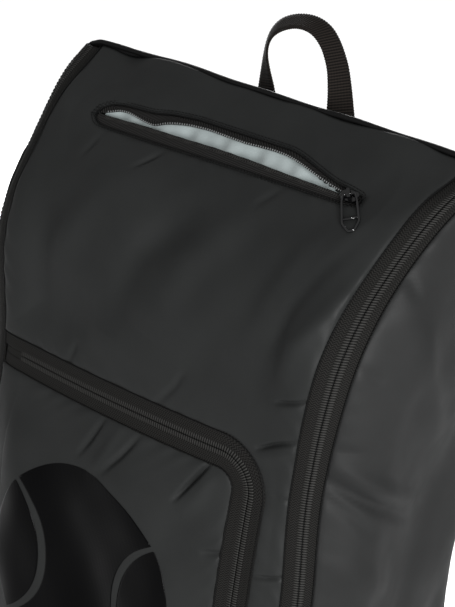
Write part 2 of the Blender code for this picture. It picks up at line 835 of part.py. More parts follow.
def top_zip():
    right = SLIT_RIGHT + 0.008
    slit_ribbon("top_zip_tape_lower", SLIT_LEFT, right, lambda x: -TOP_ZIP_HALF, lambda x: -COIL_TO - GAP,
                TAPE_FACE, TAPE_BACK, "tape")
    slit_ribbon("top_zip_coil_lower", SLIT_LEFT + 0.012, right, lambda x: -COIL_TO, lambda x: -COIL_FROM,
                COIL_FACE, COIL_BACK, "coil")
    slit_ribbon("top_zip_coil_upper", SLIT_LEFT + 0.022, right, lambda x: slit_arch(x) + COIL_FROM,
                lambda x: slit_arch(x) + COIL_TO, COIL_FACE, COIL_BACK, "coil")
    slit_ribbon("top_zip_tape_upper", SLIT_LEFT, right, lambda x: slit_arch(x) + COIL_TO + GAP,
                lambda x: slit_arch(x) + TOP_ZIP_HALF, TAPE_FACE, TAPE_BACK, "tape")


def behind_front(z, depth):
    point = skin(0.0, z, -depth)
    return (point.y, point.z)


def top_pocket_liner():
    """Thin bag that hangs behind the slit and opens to it."""
    near, far, wall = 0.0036, 0.0210, 0.0008
    left, right = SLIT_LEFT - 0.010, SLIT_RIGHT + 0.014
    heights = spread(SLIT_BAG_BOTTOM, 0.7010, 8)
    inner_heights = spread(SLIT_BAG_BOTTOM + wall, 0.7002, 8)
    outer = [behind_front(z, near) for z in heights] + [behind_front(z, far) for z in reversed(heights)]
    inner = [behind_front(z, near + wall) for z in inner_heights]
    inner += [behind_front(z, far - wall) for z in reversed(inner_heights)]
    bag = prism("top_pocket_liner", outer, along_x, left, right, "lining")
    combine(bag, prism("hollow", inner, along_x, left + wall, right - wall), "DIFFERENCE")
    combine(bag, prism("mouth", slit_outline(-0.001), slit_place(), -0.012, 0.006), "DIFFERENCE")


def top_slider():
    """Slider at the right end of the open slit, with the puller hanging down the front."""
    origin = skin_flat(SLIT_RIGHT, SLIT_Z)
    uphill, normal = slope_directions()
    hang = Vector((math.sin(PULLER_SWING), 0, 0)) - uphill * math.cos(PULLER_SWING)
    slider("top_slider", origin, Vector((-1, 0, 0)), normal, hang, 0.8)
    puller("top_puller", origin + normal * PIN_LIFT, normal.cross(hang), hang, normal)


# Carrying parts -----------------------------------------------------------------------------------

LOOP_Y = 0.040
LOOP_TOP = 0.773
LOOP_HALF_SPAN = 0.034
LOOP_CLEARANCE = 0.0025
WEBBING = 0.025
WEBBING_THICK = 0.0018


def loop_foot_z():
    """Height of the rear skin at the haul loop."""
    low, high = 0.60, HEIGHT
    for _ in range(40):
        middle = (low + high) / 2
        if rear_y(middle) > LOOP_Y:
            low = middle
        else:
            high = middle
    return low


def haul_loop():
    """Webbing sewn flat at both feet, with a half twist over the arch."""
    foot = loop_foot_z() + LOOP_CLEARANCE
    shoulder = LOOP_TOP - LOOP_HALF_SPAN
    path = []
    for z in spread(foot, shoulder, 5)[:-1]:
        path.append((-LOOP_HALF_SPAN, z))
    path += arc_points((0.0, shoulder), LOOP_HALF_SPAN, 180, 0, 10)
    for z in spread(shoulder, foot, 5)[1:]:
        path.append((LOOP_HALF_SPAN, z))
    rings = []
    last = len(path) - 1
    for i, (x, z) in enumerate(path):
        before, after = path[max(i - 1, 0)], path[min(i + 1, last)]
        along = Vector((after[0] - before[0], 0.0, after[1] - before[1])).normalized()
        twist = -math.pi * smooth(i / last)
        flat = Vector((along.z, 0.0, -along.x))
        width = flat * math.cos(twist) + Vector((0, 1, 0)) * math.sin(twist)
        thick = along.cross(width)
        centre = Vector((x, LOOP_Y, z))
        rings.append(band_ring(centre, width * (WEBBING / 2), thick * (WEBBING_THICK / 2)))
    loft("haul_loop", rings, "webbing", (0.0, LOOP_Y, foot))


def band_ring(centre, wide, thick):
    return [centre - wide - thick, centre + wide - thick, centre + wide + thick, centre - wide + thick]


def pad_ring(centre, wide, thick):
    """Rounded section of a padded strap."""
    shape = ((1.0, -0.4), (1.0, 0.4), (0.84, 1.0), (-0.84, 1.0),
             (-1.0, 0.4), (-1.0, -0.4), (-0.84, -1.0), (0.84, -1.0))
    return [centre + wide * a + thick * b for a, b in shape]


STRAP_TOP_Z = 0.600
STRAP_TOP_X = 0.046
STRAP_LOW = (0.112, 0.160, 0.262)
STRAP_HALF = 0.031
STRAP_LOW_HALF = 0.022
STRAP_THICK = 0.011
YOKE_THICK = 0.0025


def strap_anchor_point(side):
    """Middle of a shoulder strap's upper end, on the yoke."""
    y = rear_y(STRAP_TOP_Z) + YOKE_THICK + GAP + STRAP_THICK / 2
    return Vector((side * STRAP_TOP_X, y, STRAP_TOP_Z))


def strap_curve(side):
    top = strap_anchor_point(side)
    x, y, z = STRAP_LOW
    return (tuple(top), (side * 0.052, 0.172, 0.575), (side * 0.080, 0.205, 0.420), (side * x, y, z))


def strap_frames(side, count):
    """Centre, direction along, direction across and shares of the strap's length."""
    curve = strap_curve(side)
    for share in spread(0.0, 1.0, count):
        step = 0.01
        ahead = Vector(bezier(curve, min(share + step, 1.0)))
        behind = Vector(bezier(curve, max(share - step, 0.0)))
        along = (ahead - behind).normalized()
        across = Vector((0, 1, 0)).cross(along)
        across.y = 0.0
        across.normalize()
        yield Vector(bezier(curve, share)), along, across, share


def shoulder_strap(side):
    rings = []
    for centre, along, across, share in strap_frames(side, 14):
        half = lerp(STRAP_HALF, STRAP_LOW_HALF, smooth(share))
        ends = 1.0 if 0.0 < share < 1.0 else 0.55
        thick = along.cross(across).normalized() * (STRAP_THICK / 2 * ends)
        rings.append(pad_ring(centre, across * half, thick))
    loft(f"shoulder_strap_{side_name(side)}", rings, "padding", strap_anchor_point(side))


def buckle_frame(side):
    """Origin and directions of the ladder buckle at the lower end of a strap."""
    *_, (centre, along, across, _) = strap_frames(side, 14)
    normal = along.cross(across).normalized()
    if normal.y < 0:
        normal = -normal
    return centre + along * 0.0185, along, across, normal


def strap_buckle(side):
    """Ladder-lock buckle: a frame with two openings, hung on the end of the strap."""
    origin, along, across, normal = buckle_frame(side)
    place = frame_place(origin, across, along, normal)
    outline = rounded_outline(-0.0165, 0.0165, -0.0170, 0.0170, 0.004)
    body = prism(f"strap_buckle_{side_name(side)}", outline, place, -0.0022, 0.0022, "buckle",
                 strap_anchor_point(side))
    for low, high in ((-0.0140, -0.0092), (-0.0045, 0.0010), (0.0058, 0.0125)):
        cutter = prism("cutter", rounded_outline(-0.0132, 0.0132, low, high, 0.001), place, -0.01, 0.01)
        combine(body, cutter, "DIFFERENCE")


def webbing_end(side):
    """Lower end of the webbing, on the rear panel above the base."""
    z = 0.062
    return Vector((side * 0.128, rear_y(z) + 0.0046, z))


def strap_webbing(side):
    """Webbing from the buckle down to the rear panel."""
    origin, along, across, normal = buckle_frame(side)
    start = origin + along * 0.0200
    end = webbing_end(side)
    curve = (tuple(start), tuple(start + along * 0.05), tuple(end + Vector((0, 0.030, 0.075))), tuple(end))
    rings = []
    for share in spread(0.0, 1.0, 8):
        centre = Vector(bezier(curve, share))
        ahead = Vector(bezier(curve, min(share + 0.02, 1.0)))
        behind = Vector(bezier(curve, max(share - 0.02, 0.0)))
        heading = (ahead - behind).normalized()
        wide = across.lerp(Vector((across.x, 0, 0)).normalized(), share).normalized()
        thick = heading.cross(wide).normalized()
        rings.append(band_ring(centre, wide * (WEBBING / 2), thick * (WEBBING_THICK / 2)))
    loft(f"strap_webbing_{side_name(side)}", rings, "webbing")


def strap_anchor(side):
    """Fabric tab on the rear panel that holds the webbing."""
    z = webbing_end(side).z
    x = side * 0.128
    rise = (rear_y(z + 0.01) - rear_y(z - 0.01)) / 0.02
    up = Vector((0, rise, 1)).normalized()
    normal = Vector((0, 1, -rise)).normalized()
    place = frame_place(Vector((x, rear_y(z) + GAP, z)), Vector((1, 0, 0)), up, normal)
    outline = [(-0.019, -0.012), (0.019, -0.012), (0.0145, 0.022), (-0.0145, 0.022)]
    prism(f"strap_anchor_{side_name(side)}", outline, place, 0.0, 0.0026, "base_fabric")


def strap_yoke():
    """Reinforcing patch that the straps and the haul loop are sewn to."""
    def point(x, z, lift):
        return skin(half_round(z) - x, z, lift)

    rows = spread(STRAP_TOP_Z - 0.022, STRAP_TOP_Z + 0.022, 4)
    grid_solid("strap_yoke", lambda x, z: point(x, z, GAP + YOKE_THICK), lambda x, z: point(x, z, GAP),
               rows, spread(0.095, -0.095, 4), "base_fabric")


def back_pad(side):
    """Raised pad on the rear panel."""
    inner, outer, low, high = 0.016, 0.112, 0.100, 0.545
    rise = 0.012

    def crown(x, z):
        across = (x - inner) / (outer - inner)
        up = (z - low) / (high - low)
        return rise * smooth(7 * across * (1 - across)) * smooth(14 * up * (1 - up))

    def point(x, z, lift):
        return skin(half_round(z) - side * x, z, lift)

    columns = spread(inner, outer, 8)
    if side > 0:
        columns.reverse()
    grid_solid(f"back_pad_{side_name(side)}", lambda x, z: point(x, z, GAP + 0.002 + crown(x, z)),
               lambda x, z: point(x, z, GAP), spread(low, high, 14), columns, "padding")


def build():
    clear_scene()
    base_panel()
    base_band()
    base_board()
    front_panel()
    rear_panel()
    rear_frame_sheet()
    top_piping()
    pocket_zip()
    front_pocket_cover()
    pocket_hinge_strip()
    front_pocket_liner()
    pocket_slider()
    emblem()
    top_zip()
    top_pocket_liner()
    top_slider()
    haul_loop()
    strap_yoke()
    for side in (-1, 1):
        side_panel(side)
        side_zip(side)
        side_slider(side)
        shoulder_strap(side)
        strap_buckle(side)
        strap_webbing(side)
        strap_anchor(side)
        back_pad(side)


build()
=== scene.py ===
"""Looks of the racket backpack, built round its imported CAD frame.

The skin is the same stack of rounded sections as in the CAD part. A place on it is an arc length round the
section, from the front centre towards +X, and a height. Soft pieces are grids on that skin with their own
folds and rolled edges; zips, threads and webbing are laid out along lines on it. Everything is in metres.
"""

import json
import math

import bpy
import numpy as np
from mathutils import Matrix, Vector

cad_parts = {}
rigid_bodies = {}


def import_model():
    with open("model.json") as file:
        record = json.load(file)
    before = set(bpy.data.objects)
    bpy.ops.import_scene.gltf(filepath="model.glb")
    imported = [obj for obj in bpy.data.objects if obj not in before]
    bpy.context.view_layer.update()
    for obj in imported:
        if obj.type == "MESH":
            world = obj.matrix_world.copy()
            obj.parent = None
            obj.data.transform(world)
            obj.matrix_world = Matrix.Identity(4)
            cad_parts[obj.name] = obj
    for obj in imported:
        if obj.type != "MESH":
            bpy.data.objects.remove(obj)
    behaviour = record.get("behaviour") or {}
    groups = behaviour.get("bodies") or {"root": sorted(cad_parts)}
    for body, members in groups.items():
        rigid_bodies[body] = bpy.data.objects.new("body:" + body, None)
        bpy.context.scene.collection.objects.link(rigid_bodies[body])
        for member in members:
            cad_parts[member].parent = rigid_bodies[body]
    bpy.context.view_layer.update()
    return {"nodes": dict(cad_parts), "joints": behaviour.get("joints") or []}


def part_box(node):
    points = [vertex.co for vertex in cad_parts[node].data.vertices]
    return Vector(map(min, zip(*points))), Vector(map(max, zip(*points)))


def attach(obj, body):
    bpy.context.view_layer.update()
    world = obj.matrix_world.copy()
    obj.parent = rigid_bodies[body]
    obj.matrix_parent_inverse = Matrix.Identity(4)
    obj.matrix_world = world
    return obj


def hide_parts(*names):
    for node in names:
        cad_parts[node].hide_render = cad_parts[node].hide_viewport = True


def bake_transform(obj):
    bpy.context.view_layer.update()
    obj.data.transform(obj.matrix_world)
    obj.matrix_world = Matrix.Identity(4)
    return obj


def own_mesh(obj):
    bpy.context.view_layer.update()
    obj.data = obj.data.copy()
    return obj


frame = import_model()
JOINTS = {joint["name"]: joint for joint in frame["joints"]}

# The CAD part's skin ------------------------------------------------------------------------------

HEIGHT = 0.720
HALF_WIDTH = 0.175
TOP_HALF_WIDTH = 0.184
WIDENING_FROM = 0.600
FRONT_Y = -0.115
FRONT_BELLY = 0.004
BELLY_BELOW = 0.560
BELLY_FADE = 0.140
FRONT_CROWN = 0.006
CROWN_LOW = 0.085
CROWN_LOW_FADE = 0.10
CROWN_HIGH = 0.600
CROWN_HIGH_FADE = 0.12
RIDGE_Y = 0.001
REAR_TOP_Y = 0.092
REAR_BASE_Y = 0.125
REAR_STRAIGHT_BELOW = 0.560
FRONT_CORNER = 0.060
REAR_CORNER = 0.045
SMALLEST_CORNER = 0.002
FULL_CORNER_DEPTH = 0.170
FRONT_CURVE = ((RIDGE_Y, HEIGHT), (-0.058, 0.682), (FRONT_Y, 0.650), (FRONT_Y, 0.575))
REAR_CURVE = ((RIDGE_Y, HEIGHT), (0.039, 0.688), (0.088, 0.620), (REAR_TOP_Y, REAR_STRAIGHT_BELOW))
BASE_TOP = 0.040
BASE_EDGE = 0.010
SHELL_LOW = 0.036
SHELL_TOP = 0.7185

ZIP_HALF = 0.012
SIDE_TAPE = 0.0106
POCKET_ZIP_HALF = 0.0128
FRONT_HALF = 0.1365
FRONT_HALF_LOW = 0.006
FRONT_HALF_TOP = 0.028
FRONT_SPREAD = 1.9
SPREAD_FROM = 0.520
SPREAD_TO = 0.708
LOW_SPREAD_BELOW = 0.500
LOW_SPREAD_FADE = 0.100
SIDE_TURN = 0.4

POCKET_LEFT = -0.1335
POCKET_RIGHT = 0.1075
POCKET_TOP = 0.5035
POCKET_LOW = 0.0685
POCKET_TURN = 0.0275
POCKET_BULGE = 0.010
POCKET_SEWN_END = -0.084

SLIT_Z = 0.684
UP = np.array((0.0, 0.0, 1.0))


def smooth(t):
    t = np.clip(t, 0.0, 1.0)
    return t * t * (3.0 - 2.0 * t)


def lerp(a, b, t):
    return a + (b - a) * t


def unit(vectors):
    return vectors / np.maximum(np.linalg.norm(vectors, axis=-1, keepdims=True), 1e-12)


def bezier(points, t):
    p = np.array(points, float)
    t = np.asarray(t, float)[..., None]
    u = 1.0 - t
    return u**3 * p[0] + 3 * u * u * t * p[1] + 3 * u * t * t * p[2] + t**3 * p[3]


FRONT_TABLE = bezier(FRONT_CURVE, np.linspace(1, 0, 500))
REAR_TABLE = bezier(REAR_CURVE, np.linspace(1, 0, 500))


def front_y(z):
    belly = FRONT_BELLY * smooth((BELLY_BELOW - z) / BELLY_FADE)
    return np.interp(z, FRONT_TABLE[:, 1], FRONT_TABLE[:, 0]) - belly


def rear_y(z):
    straight = lerp(REAR_BASE_Y, REAR_TOP_Y, z / REAR_STRAIGHT_BELOW)
    return np.where(z <= REAR_STRAIGHT_BELOW, straight, np.interp(z, REAR_TABLE[:, 1], REAR_TABLE[:, 0]))


def section(z):
    """Front y, rear y, half width, front corner and rear corner of the body at height z."""
    near_floor = np.maximum(BASE_EDGE - z, 0.0)
    inset = BASE_EDGE - np.sqrt(np.maximum(BASE_EDGE**2 - near_floor**2, 0.0))
    front = front_y(z) + inset
    rear = rear_y(z) - inset
    widening = smooth((z - WIDENING_FROM) / (HEIGHT - WIDENING_FROM))
    half = lerp(HALF_WIDTH, TOP_HALF_WIDTH, widening) - inset
    roundness = smooth((rear - front) / FULL_CORNER_DEPTH)
    near, far = (corner * roundness + SMALLEST_CORNER for corner in (FRONT_CORNER, REAR_CORNER))
    return front, rear, half, near, far


def half_round(z):
    """Arc length from the front centre to the rear centre."""
    front, rear, half, near, far = section(z)
    return (half - near) + (rear - front - near - far) + (half - far) + (near + far) * math.pi / 2


def skin_flat(arc, z):
    """A place on the CAD part's own skin."""
    arc, z = np.broadcast_arrays(np.asarray(arc, float), np.asarray(z, float))
    front, rear, half, near, far = section(z)
    total = half_round(z)
    a = np.abs(arc)
    side = np.where((arc < 0) != (a > total), -1.0, 1.0)
    a = np.where(a > total, 2 * total - a, a)
    flat = half - near
    past_flat = a - flat
    past_near = past_flat - near * math.pi / 2
    deep = rear - front - near - far
    past_deep = past_near - deep
    past_far = past_deep - far * math.pi / 2
    swell = smooth((CROWN_HIGH - z) / CROWN_HIGH_FADE) * smooth((z - CROWN_LOW) / CROWN_LOW_FADE)
    crown = FRONT_CROWN * swell * (1 - (a / flat) ** 2)
    turn, back_turn = past_flat / near, past_deep / far
    zones = [past_flat <= 0, past_near <= 0, past_deep <= 0, past_far <= 0]
    x = np.select(zones, [a, flat + near * np.sin(turn), half, half - far + far * np.cos(back_turn)],
                  half - far - past_far)
    y = np.select(zones, [front - crown, front + near * (1 - np.cos(turn)), front + near + past_near,
                          rear - far + far * np.sin(back_turn)], rear)
    return np.stack([side * x, y, z], -1)


def outward(arc, z):
    """The skin's outward normal."""
    step = 0.0004
    top = np.minimum(np.asarray(z, float) + step, HEIGHT - step)
    along = skin_flat(arc + step, z) - skin_flat(arc - step, z)
    rise = skin_flat(arc, top) - skin_flat(arc, top - 2 * step)
    return unit(np.cross(along, rise))


def skin(arc, z, lift=0.0):
    """A place on the filled bag, whose upper corners swell out round the side zips."""
    points = skin_flat(arc, z) + outward(arc, z) * (np.asarray(lift, float) + corner_swell(arc, z))[..., None]
    points[..., 2] += ridge_at(points[..., 0]) * smooth((z - RIDGE_FROM) / RIDGE_FADE)
    return points


def arc_at_x(x, z):
    """Arc length at a distance x from the middle, on the front face or its corner."""
    _, _, half, near, _ = section(z)
    flat = half - near
    turn = np.arcsin(np.clip((np.abs(x) - flat) / near, 0.0, 1.0))
    return np.where(np.abs(x) <= flat, x, np.sign(x) * (flat + near * turn))


def front_point(x, z, lift=0.0):
    return skin(arc_at_x(x, z), z, lift)


def zip_inner(z):
    """Arc length of the front panel's edge, at a side zip."""
    climb = np.maximum((z - SPREAD_FROM) / (SPREAD_TO - SPREAD_FROM), 0.0)
    low = smooth((LOW_SPREAD_BELOW - z) / LOW_SPREAD_FADE)
    return arc_at_x(FRONT_HALF + FRONT_HALF_TOP * climb**FRONT_SPREAD + FRONT_HALF_LOW * low, z)


def zip_middle(z):
    return zip_inner(z) + ZIP_HALF


def zip_outer(z):
    return zip_middle(z) + SIDE_TAPE


def eased_curve(pairs, spread):
    """A function through pairs, rounded off over a distance."""
    xs, ys = np.array(pairs, float).T
    fine = np.linspace(xs[0], xs[-1], 600)
    reach = int(math.ceil(3 * spread / (fine[1] - fine[0])))
    weights = np.exp(-(np.arange(-reach, reach + 1) * (fine[1] - fine[0]) / spread) ** 2)
    padded = np.pad(np.interp(fine, xs, ys), reach, mode="edge")
    eased = np.convolve(padded, weights / weights.sum(), mode="valid")
    return lambda x: np.interp(x, fine, eased)


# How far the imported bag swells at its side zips, by height
swell_at = eased_curve(((0.470, 0.0), (0.495, 0.0), (0.515, 0.0012), (0.540, 0.0048), (0.565, 0.0078),
                        (0.590, 0.0090), (0.610, 0.0086), (0.630, 0.0072), (0.645, 0.0058), (0.660, 0.0046),
                        (0.675, 0.0038), (0.690, 0.0038), (0.705, 0.0034), (0.720, 0.0010)), 0.010)
SWELL_STARTS_INSIDE = 0.040
SWELL_RISE = 0.046
SWELL_FALL = 0.11
# How far the ridge's line strays from level, across the bag
ridge_at = eased_curve(((-0.190, 0.0), (-0.150, 0.0006), (-0.100, 0.0020), (-0.060, 0.0016), (-0.010, 0.0002),
                        (0.060, 0.0), (0.120, -0.0006), (0.160, -0.0024), (0.190, -0.0030)), 0.014)
RIDGE_FROM = 0.690
RIDGE_FADE = 0.028


def corner_swell(arc, z):
    a = np.abs(arc)
    start = smooth((a - zip_inner(z) + SWELL_STARTS_INSIDE) / SWELL_RISE)
    end = smooth((side_end(z) - a) / SWELL_FALL)
    return swell_at(z) * start * end


def side_end(z):
    """Arc length of the side panel's rear edge, part way round the rear corner."""
    _, _, half, _, far = section(z)
    return half_round(z) - (half - far) - far * math.pi / 2 * SIDE_TURN


def side_name(side):
    return "right" if side > 0 else "left"


# Meshes -------------------------------------------------------------------------------------------

def inside_out(mesh, points):
    """Whether a closed mesh's faces point into it."""
    mesh.calc_loop_triangles()
    corners = np.empty(3 * len(mesh.loop_triangles), np.int32)
    mesh.loop_triangles.foreach_get("vertices", corners)
    return np.linalg.det(points[corners.reshape(-1, 3)]).sum() < 0


def make_object(name, points, faces, look, uv=None):
    """A smooth mesh object with one of the LOOKS, leaving out the points that no face uses."""
    used, index = np.unique(np.array([c for face in faces for c in face]), return_inverse=True)
    sizes = [len(face) for face in faces]
    ends = np.cumsum([0] + sizes)
    faces = [tuple(index[ends[i]:ends[i + 1]].tolist()) for i in range(len(sizes))]
    mesh = bpy.data.meshes.new(name)
    mesh.from_pydata(points[used].tolist(), [], faces)
    mesh.polygons.foreach_set("use_smooth", [True] * len(faces))
    if uv is not None:
        layer = mesh.uv_layers.new(name="cloth")
        layer.data.foreach_set("uv", uv[used][index].astype(np.float32).ravel())
    mesh.materials.append(LOOKS[look])
    closed = 2 * len(mesh.edges) == len(mesh.loops)
    if closed and inside_out(mesh, points[used]):
        mesh.flip_normals()
    made = bpy.data.objects.new(name, mesh)
    bpy.context.scene.collection.objects.link(made)
    return made


def grid_faces(rows, columns, wrap=False):
    """Quads of a grid, by row and column; wrap joins its last column to its first."""
    index = np.arange(rows * columns).reshape(rows, columns)
    right = np.roll(index, -1, axis=1) if wrap else index[:, 1:]
    left = index if wrap else index[:, :-1]
    return np.stack([left[:-1], right[:-1], right[1:], left[1:]], -1)


def flat_uv(uv):
    """Pairs of cloth lengths, one for each point, from two arrays that broadcast together."""
    return None if uv is None else np.stack(np.broadcast_arrays(*uv), -1).reshape(-1, 2)


def sheet(name, points, look, uv=None, keep=None, thick=0.0012):
    """Cloth over a grid of points, thickened inwards; keep says which cells are there."""
    rows, columns = points.shape[:2]
    quads = grid_faces(rows, columns)
    quads = quads.reshape(-1, 4) if keep is None else quads[keep]
    made = make_object(name, points.reshape(-1, 3), quads.tolist(), look, flat_uv(uv))
    if thick:
        step = made.modifiers.new("thickness", "SOLIDIFY")
        step.thickness = thick
        step.offset = -1.0
    return made


def tube(name, rings, look, uv=None, closed=False):
    """Closed body through rings of equally many points, capped at its ends or joined end to end."""
    rows, count = rings.shape[:2]
    quads = grid_faces(rows + 1 if closed else rows, count, wrap=True) % (rows * count)
    faces = quads.reshape(-1, 4).tolist()
    if not closed:
        faces.append(tuple(range(count - 1, -1, -1)))
        faces.append(tuple((rows - 1) * count + j for j in range(count)))
    return make_object(name, rings.reshape(-1, 3), faces, look, flat_uv(uv))


def small_bodies(name, rings, look):
    """Many small closed bodies as one object, from the rings of each."""
    count, rows, around = rings.shape[:3]
    starts = np.arange(count)[:, None] * rows * around
    quads = grid_faces(rows, around, wrap=True).reshape(-1, 4) + starts[..., None]
    first = starts + np.arange(around)[::-1]
    last = starts + (rows - 1) * around + np.arange(around)
    faces = quads.reshape(-1, 4).tolist() + first.tolist() + last.tolist()
    return make_object(name, rings.reshape(-1, 3), faces, look)


def lengths(path):
    """Length along a path at each of its points."""
    return np.concatenate([[0.0], np.cumsum(np.linalg.norm(np.diff(path, axis=0), axis=1))])


def resample(path, pitch, *others):
    """Points at an even pitch along a path, and other values carried along with them."""
    s = lengths(path)
    even = np.linspace(0.0, s[-1], max(int(round(s[-1] / pitch)), 2) + 1)
    found = [np.stack([np.interp(even, s, column) for column in np.asarray(value).reshape(len(s), -1).T], -1)
             for value in (path,) + others]
    return [even] + found


def tangents(path, closed=False):
    if closed:
        return unit(np.roll(path, -1, axis=0) - np.roll(path, 1, axis=0))
    return unit(np.gradient(path, axis=0))


def section_rings(path, wide, thick, shape):
    """Rings of a flat shape of pairs, carried along a path."""
    a, b = np.array(shape, float).T
    return path[:, None] + wide[:, None] * a[None, :, None] + thick[:, None] * b[None, :, None]


def round_shape(radius, count):
    angles = np.linspace(0, 2 * math.pi, count, endpoint=False)
    return np.stack([np.cos(angles), np.sin(angles)], -1) * radius


def rounded_loop(corners, radius, count=6):
    """Closed outline of pairs with its corners rounded."""
    corners = np.array(corners, float)
    found = []
    for i, corner in enumerate(corners):
        before, after = corners[i - 1], corners[(i + 1) % len(corners)]
        start = corner + unit(before - corner) * min(radius, np.linalg.norm(before - corner) * 0.45)
        end = corner + unit(after - corner) * min(radius, np.linalg.norm(after - corner) * 0.45)
        for t in np.linspace(0, 1, count):
            found.append((1 - t) ** 2 * start + 2 * t * (1 - t) * corner + t * t * end)
    return np.array(found)


def superellipse(count, power_a, power_b):
    """Unit outline of pairs, squarer for smaller powers."""
    angles = np.linspace(0, 2 * math.pi, count, endpoint=False)
    a, b = np.cos(angles), np.sin(angles)
    return np.sign(a) * np.abs(a) ** power_a, np.sign(b) * np.abs(b) ** power_b


def cord(name, path, normals, radius, look, closed=False, count=6):
    """Round cord along a path."""
    along = tangents(path, closed)
    wide = unit(np.cross(along, normals))
    thick = np.cross(wide, along)
    return tube(name, section_rings(path, wide, thick, round_shape(radius, count)), look, closed=closed)


STITCH_PITCH = 0.0034
STITCH_LENGTH = 0.0027
STITCH_RADIUS = 0.00034
# Rings of one stitch: place along it in shares of its length, lift, and girth in shares of its radius
STITCH_RINGS = ((-0.5, -0.0004, 0.25), (-0.3, 0.0, 1.0), (0.3, 0.0, 1.0), (0.5, -0.0004, 0.25))


def stitches(name, lines, pitch=STITCH_PITCH, radius=STITCH_RADIUS):
    """Threads laid as separate short stitches along lines, each a path and its normals."""
    shift, sink, girth = np.array(STITCH_RINGS).T[..., None, None]
    shift = shift * STITCH_LENGTH * pitch / STITCH_PITCH
    cos, sin = round_shape(1.0, 5).T[..., None]
    threads = []
    for path, normals in lines:
        _, centres, ups = resample(path, pitch, normals)
        along, ups = tangents(centres), unit(ups)
        wide = np.cross(along, ups)
        centres, along, wide, ups = (found[:, None, None] for found in (centres, along, wide, ups))
        threads.append(centres + along * shift + ups * sink + (wide * cos + ups * sin) * girth * radius)
    return small_bodies(name, np.concatenate(threads), "thread")


def join(name, parts):
    """One object from several with the same look."""
    first = parts[0]
    with bpy.context.temp_override(active_object=first, selected_editable_objects=parts,
                                   selected_objects=parts, object=first):
        bpy.ops.object.join()
    first.name = name
    return first


def label(piece, slot, *nodes):
    if nodes:
        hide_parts(*nodes)


def put(piece, body, slot, *nodes):
    """Puts a piece on a body, in the place of CAD nodes."""
    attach(piece, body)
    label(piece, slot, *nodes)


def put_between(piece, bodies, start, end, slot, *nodes):
    """Leaves a piece fixed in the world where it stands, in the place of CAD nodes; bodies, start and end are
    not used.
    """
    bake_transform(piece)
    label(piece, slot, *nodes)


def box_span(node):
    """Middle and half size of a CAD node's box, each across and up."""
    low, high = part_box(node)
    return ((low.x + high.x) / 2, (low.z + high.z) / 2), ((high.x - low.x) / 2, (high.z - low.z) / 2)


# Materials ----------------------------------------------------------------------------------------

def shade(colour, share):
    return tuple(c * share for c in colour)


class Look:
    """A node material, with short ways to make its nodes."""

    def __init__(self, name, colour, rough, **more):
        self.material = bpy.data.materials.new(name)
        self.material.use_nodes = True
        self.tree = self.material.node_tree
        self.shader = self.tree.nodes["Principled BSDF"]
        self.colour = colour
        self.set("Base Color", (*colour, 1.0))
        self.set("Roughness", rough)
        for key, value in more.items():
            self.set(key.replace("_", " "), value)

    def set(self, socket, value):
        self.feed(self.shader.inputs[socket], value)

    def feed(self, socket, value):
        if isinstance(value, bpy.types.NodeSocket):
            self.tree.links.new(value, socket)
        else:
            socket.default_value = value

    def node(self, kind, **settings):
        made = self.tree.nodes.new("ShaderNode" + kind)
        for key, value in settings.items():
            setattr(made, key, value)
        return made

    def calc(self, operation, a, b=0.0):
        made = self.node("Math", operation=operation)
        self.feed(made.inputs[0], a)
        self.feed(made.inputs[1], b)
        return made.outputs[0]

    def cloth(self):
        """Lengths along and across the cloth, in metres."""
        split = self.node("SeparateXYZ")
        self.feed(split.inputs[0], self.node("UVMap", uv_map="cloth").outputs[0])
        return split.outputs[0], split.outputs[1]

    def place(self):
        return self.node("TexCoord").outputs["Object"]

    def noise(self, scale, detail=3.0, rough=0.5, vector=None):
        made = self.node("TexNoise")
        self.feed(made.inputs["Vector"], vector if vector is not None else self.place())
        self.feed(made.inputs["Scale"], scale)
        self.feed(made.inputs["Detail"], detail)
        self.feed(made.inputs["Roughness"], rough)
        return made.outputs["Fac"]

    def remap(self, value, low, high, new_low, new_high):
        made = self.node("MapRange", clamp=True)
        for socket, number in zip(made.inputs, (value, low, high, new_low, new_high)):
            self.feed(socket, number)
        return made.outputs[0]

    def mix(self, share, first, second):
        made = self.node("Mix", data_type="RGBA")
        self.feed(made.inputs["Factor"], share)
        self.feed(made.inputs[6], (*first, 1.0))
        self.feed(made.inputs[7], (*second, 1.0))
        return made.outputs[2]

    def ridges(self, value, pitch):
        """A wave of the given pitch, from 0 to 1."""
        turned = self.calc("SINE", self.calc("MULTIPLY", value, 2 * math.pi / pitch))
        return self.calc("ADD", self.calc("MULTIPLY", turned, 0.5), 0.5)

    def bump(self, height, depth, strength=1.0):
        made = self.node("Bump")
        self.feed(made.inputs["Strength"], strength)
        self.feed(made.inputs["Distance"], depth)
        self.feed(made.inputs["Height"], height)
        self.set("Normal", made.outputs[0])

    def vary(self, share, scale=14.0):
        """Slow changes of colour over the piece."""
        patches = self.remap(self.noise(scale, 4.0), 0.35, 0.65, 0.0, 1.0)
        dark, light = shade(self.colour, 1 - share), shade(self.colour, 1 + share)
        self.set("Base Color", self.mix(patches, dark, light))


def coated_cloth(name, colour, rough=0.52):
    """Smooth coated weave: faint threads, a soft sheen and slow variation."""
    look = Look(name, colour, rough, Specular_IOR_Level=0.13)
    look.vary(0.09)
    along, across = look.cloth()
    weave = look.calc("MULTIPLY", look.ridges(along, 0.0007), look.ridges(across, 0.0007))
    grain = look.calc("ADD", look.calc("MULTIPLY", weave, 0.35), look.noise(650.0, 2.0))
    look.set("Roughness", look.remap(look.noise(38.0, 5.0), 0.3, 0.7, rough - 0.05, rough + 0.06))
    look.bump(grain, 0.00012, 0.55)
    return look.material


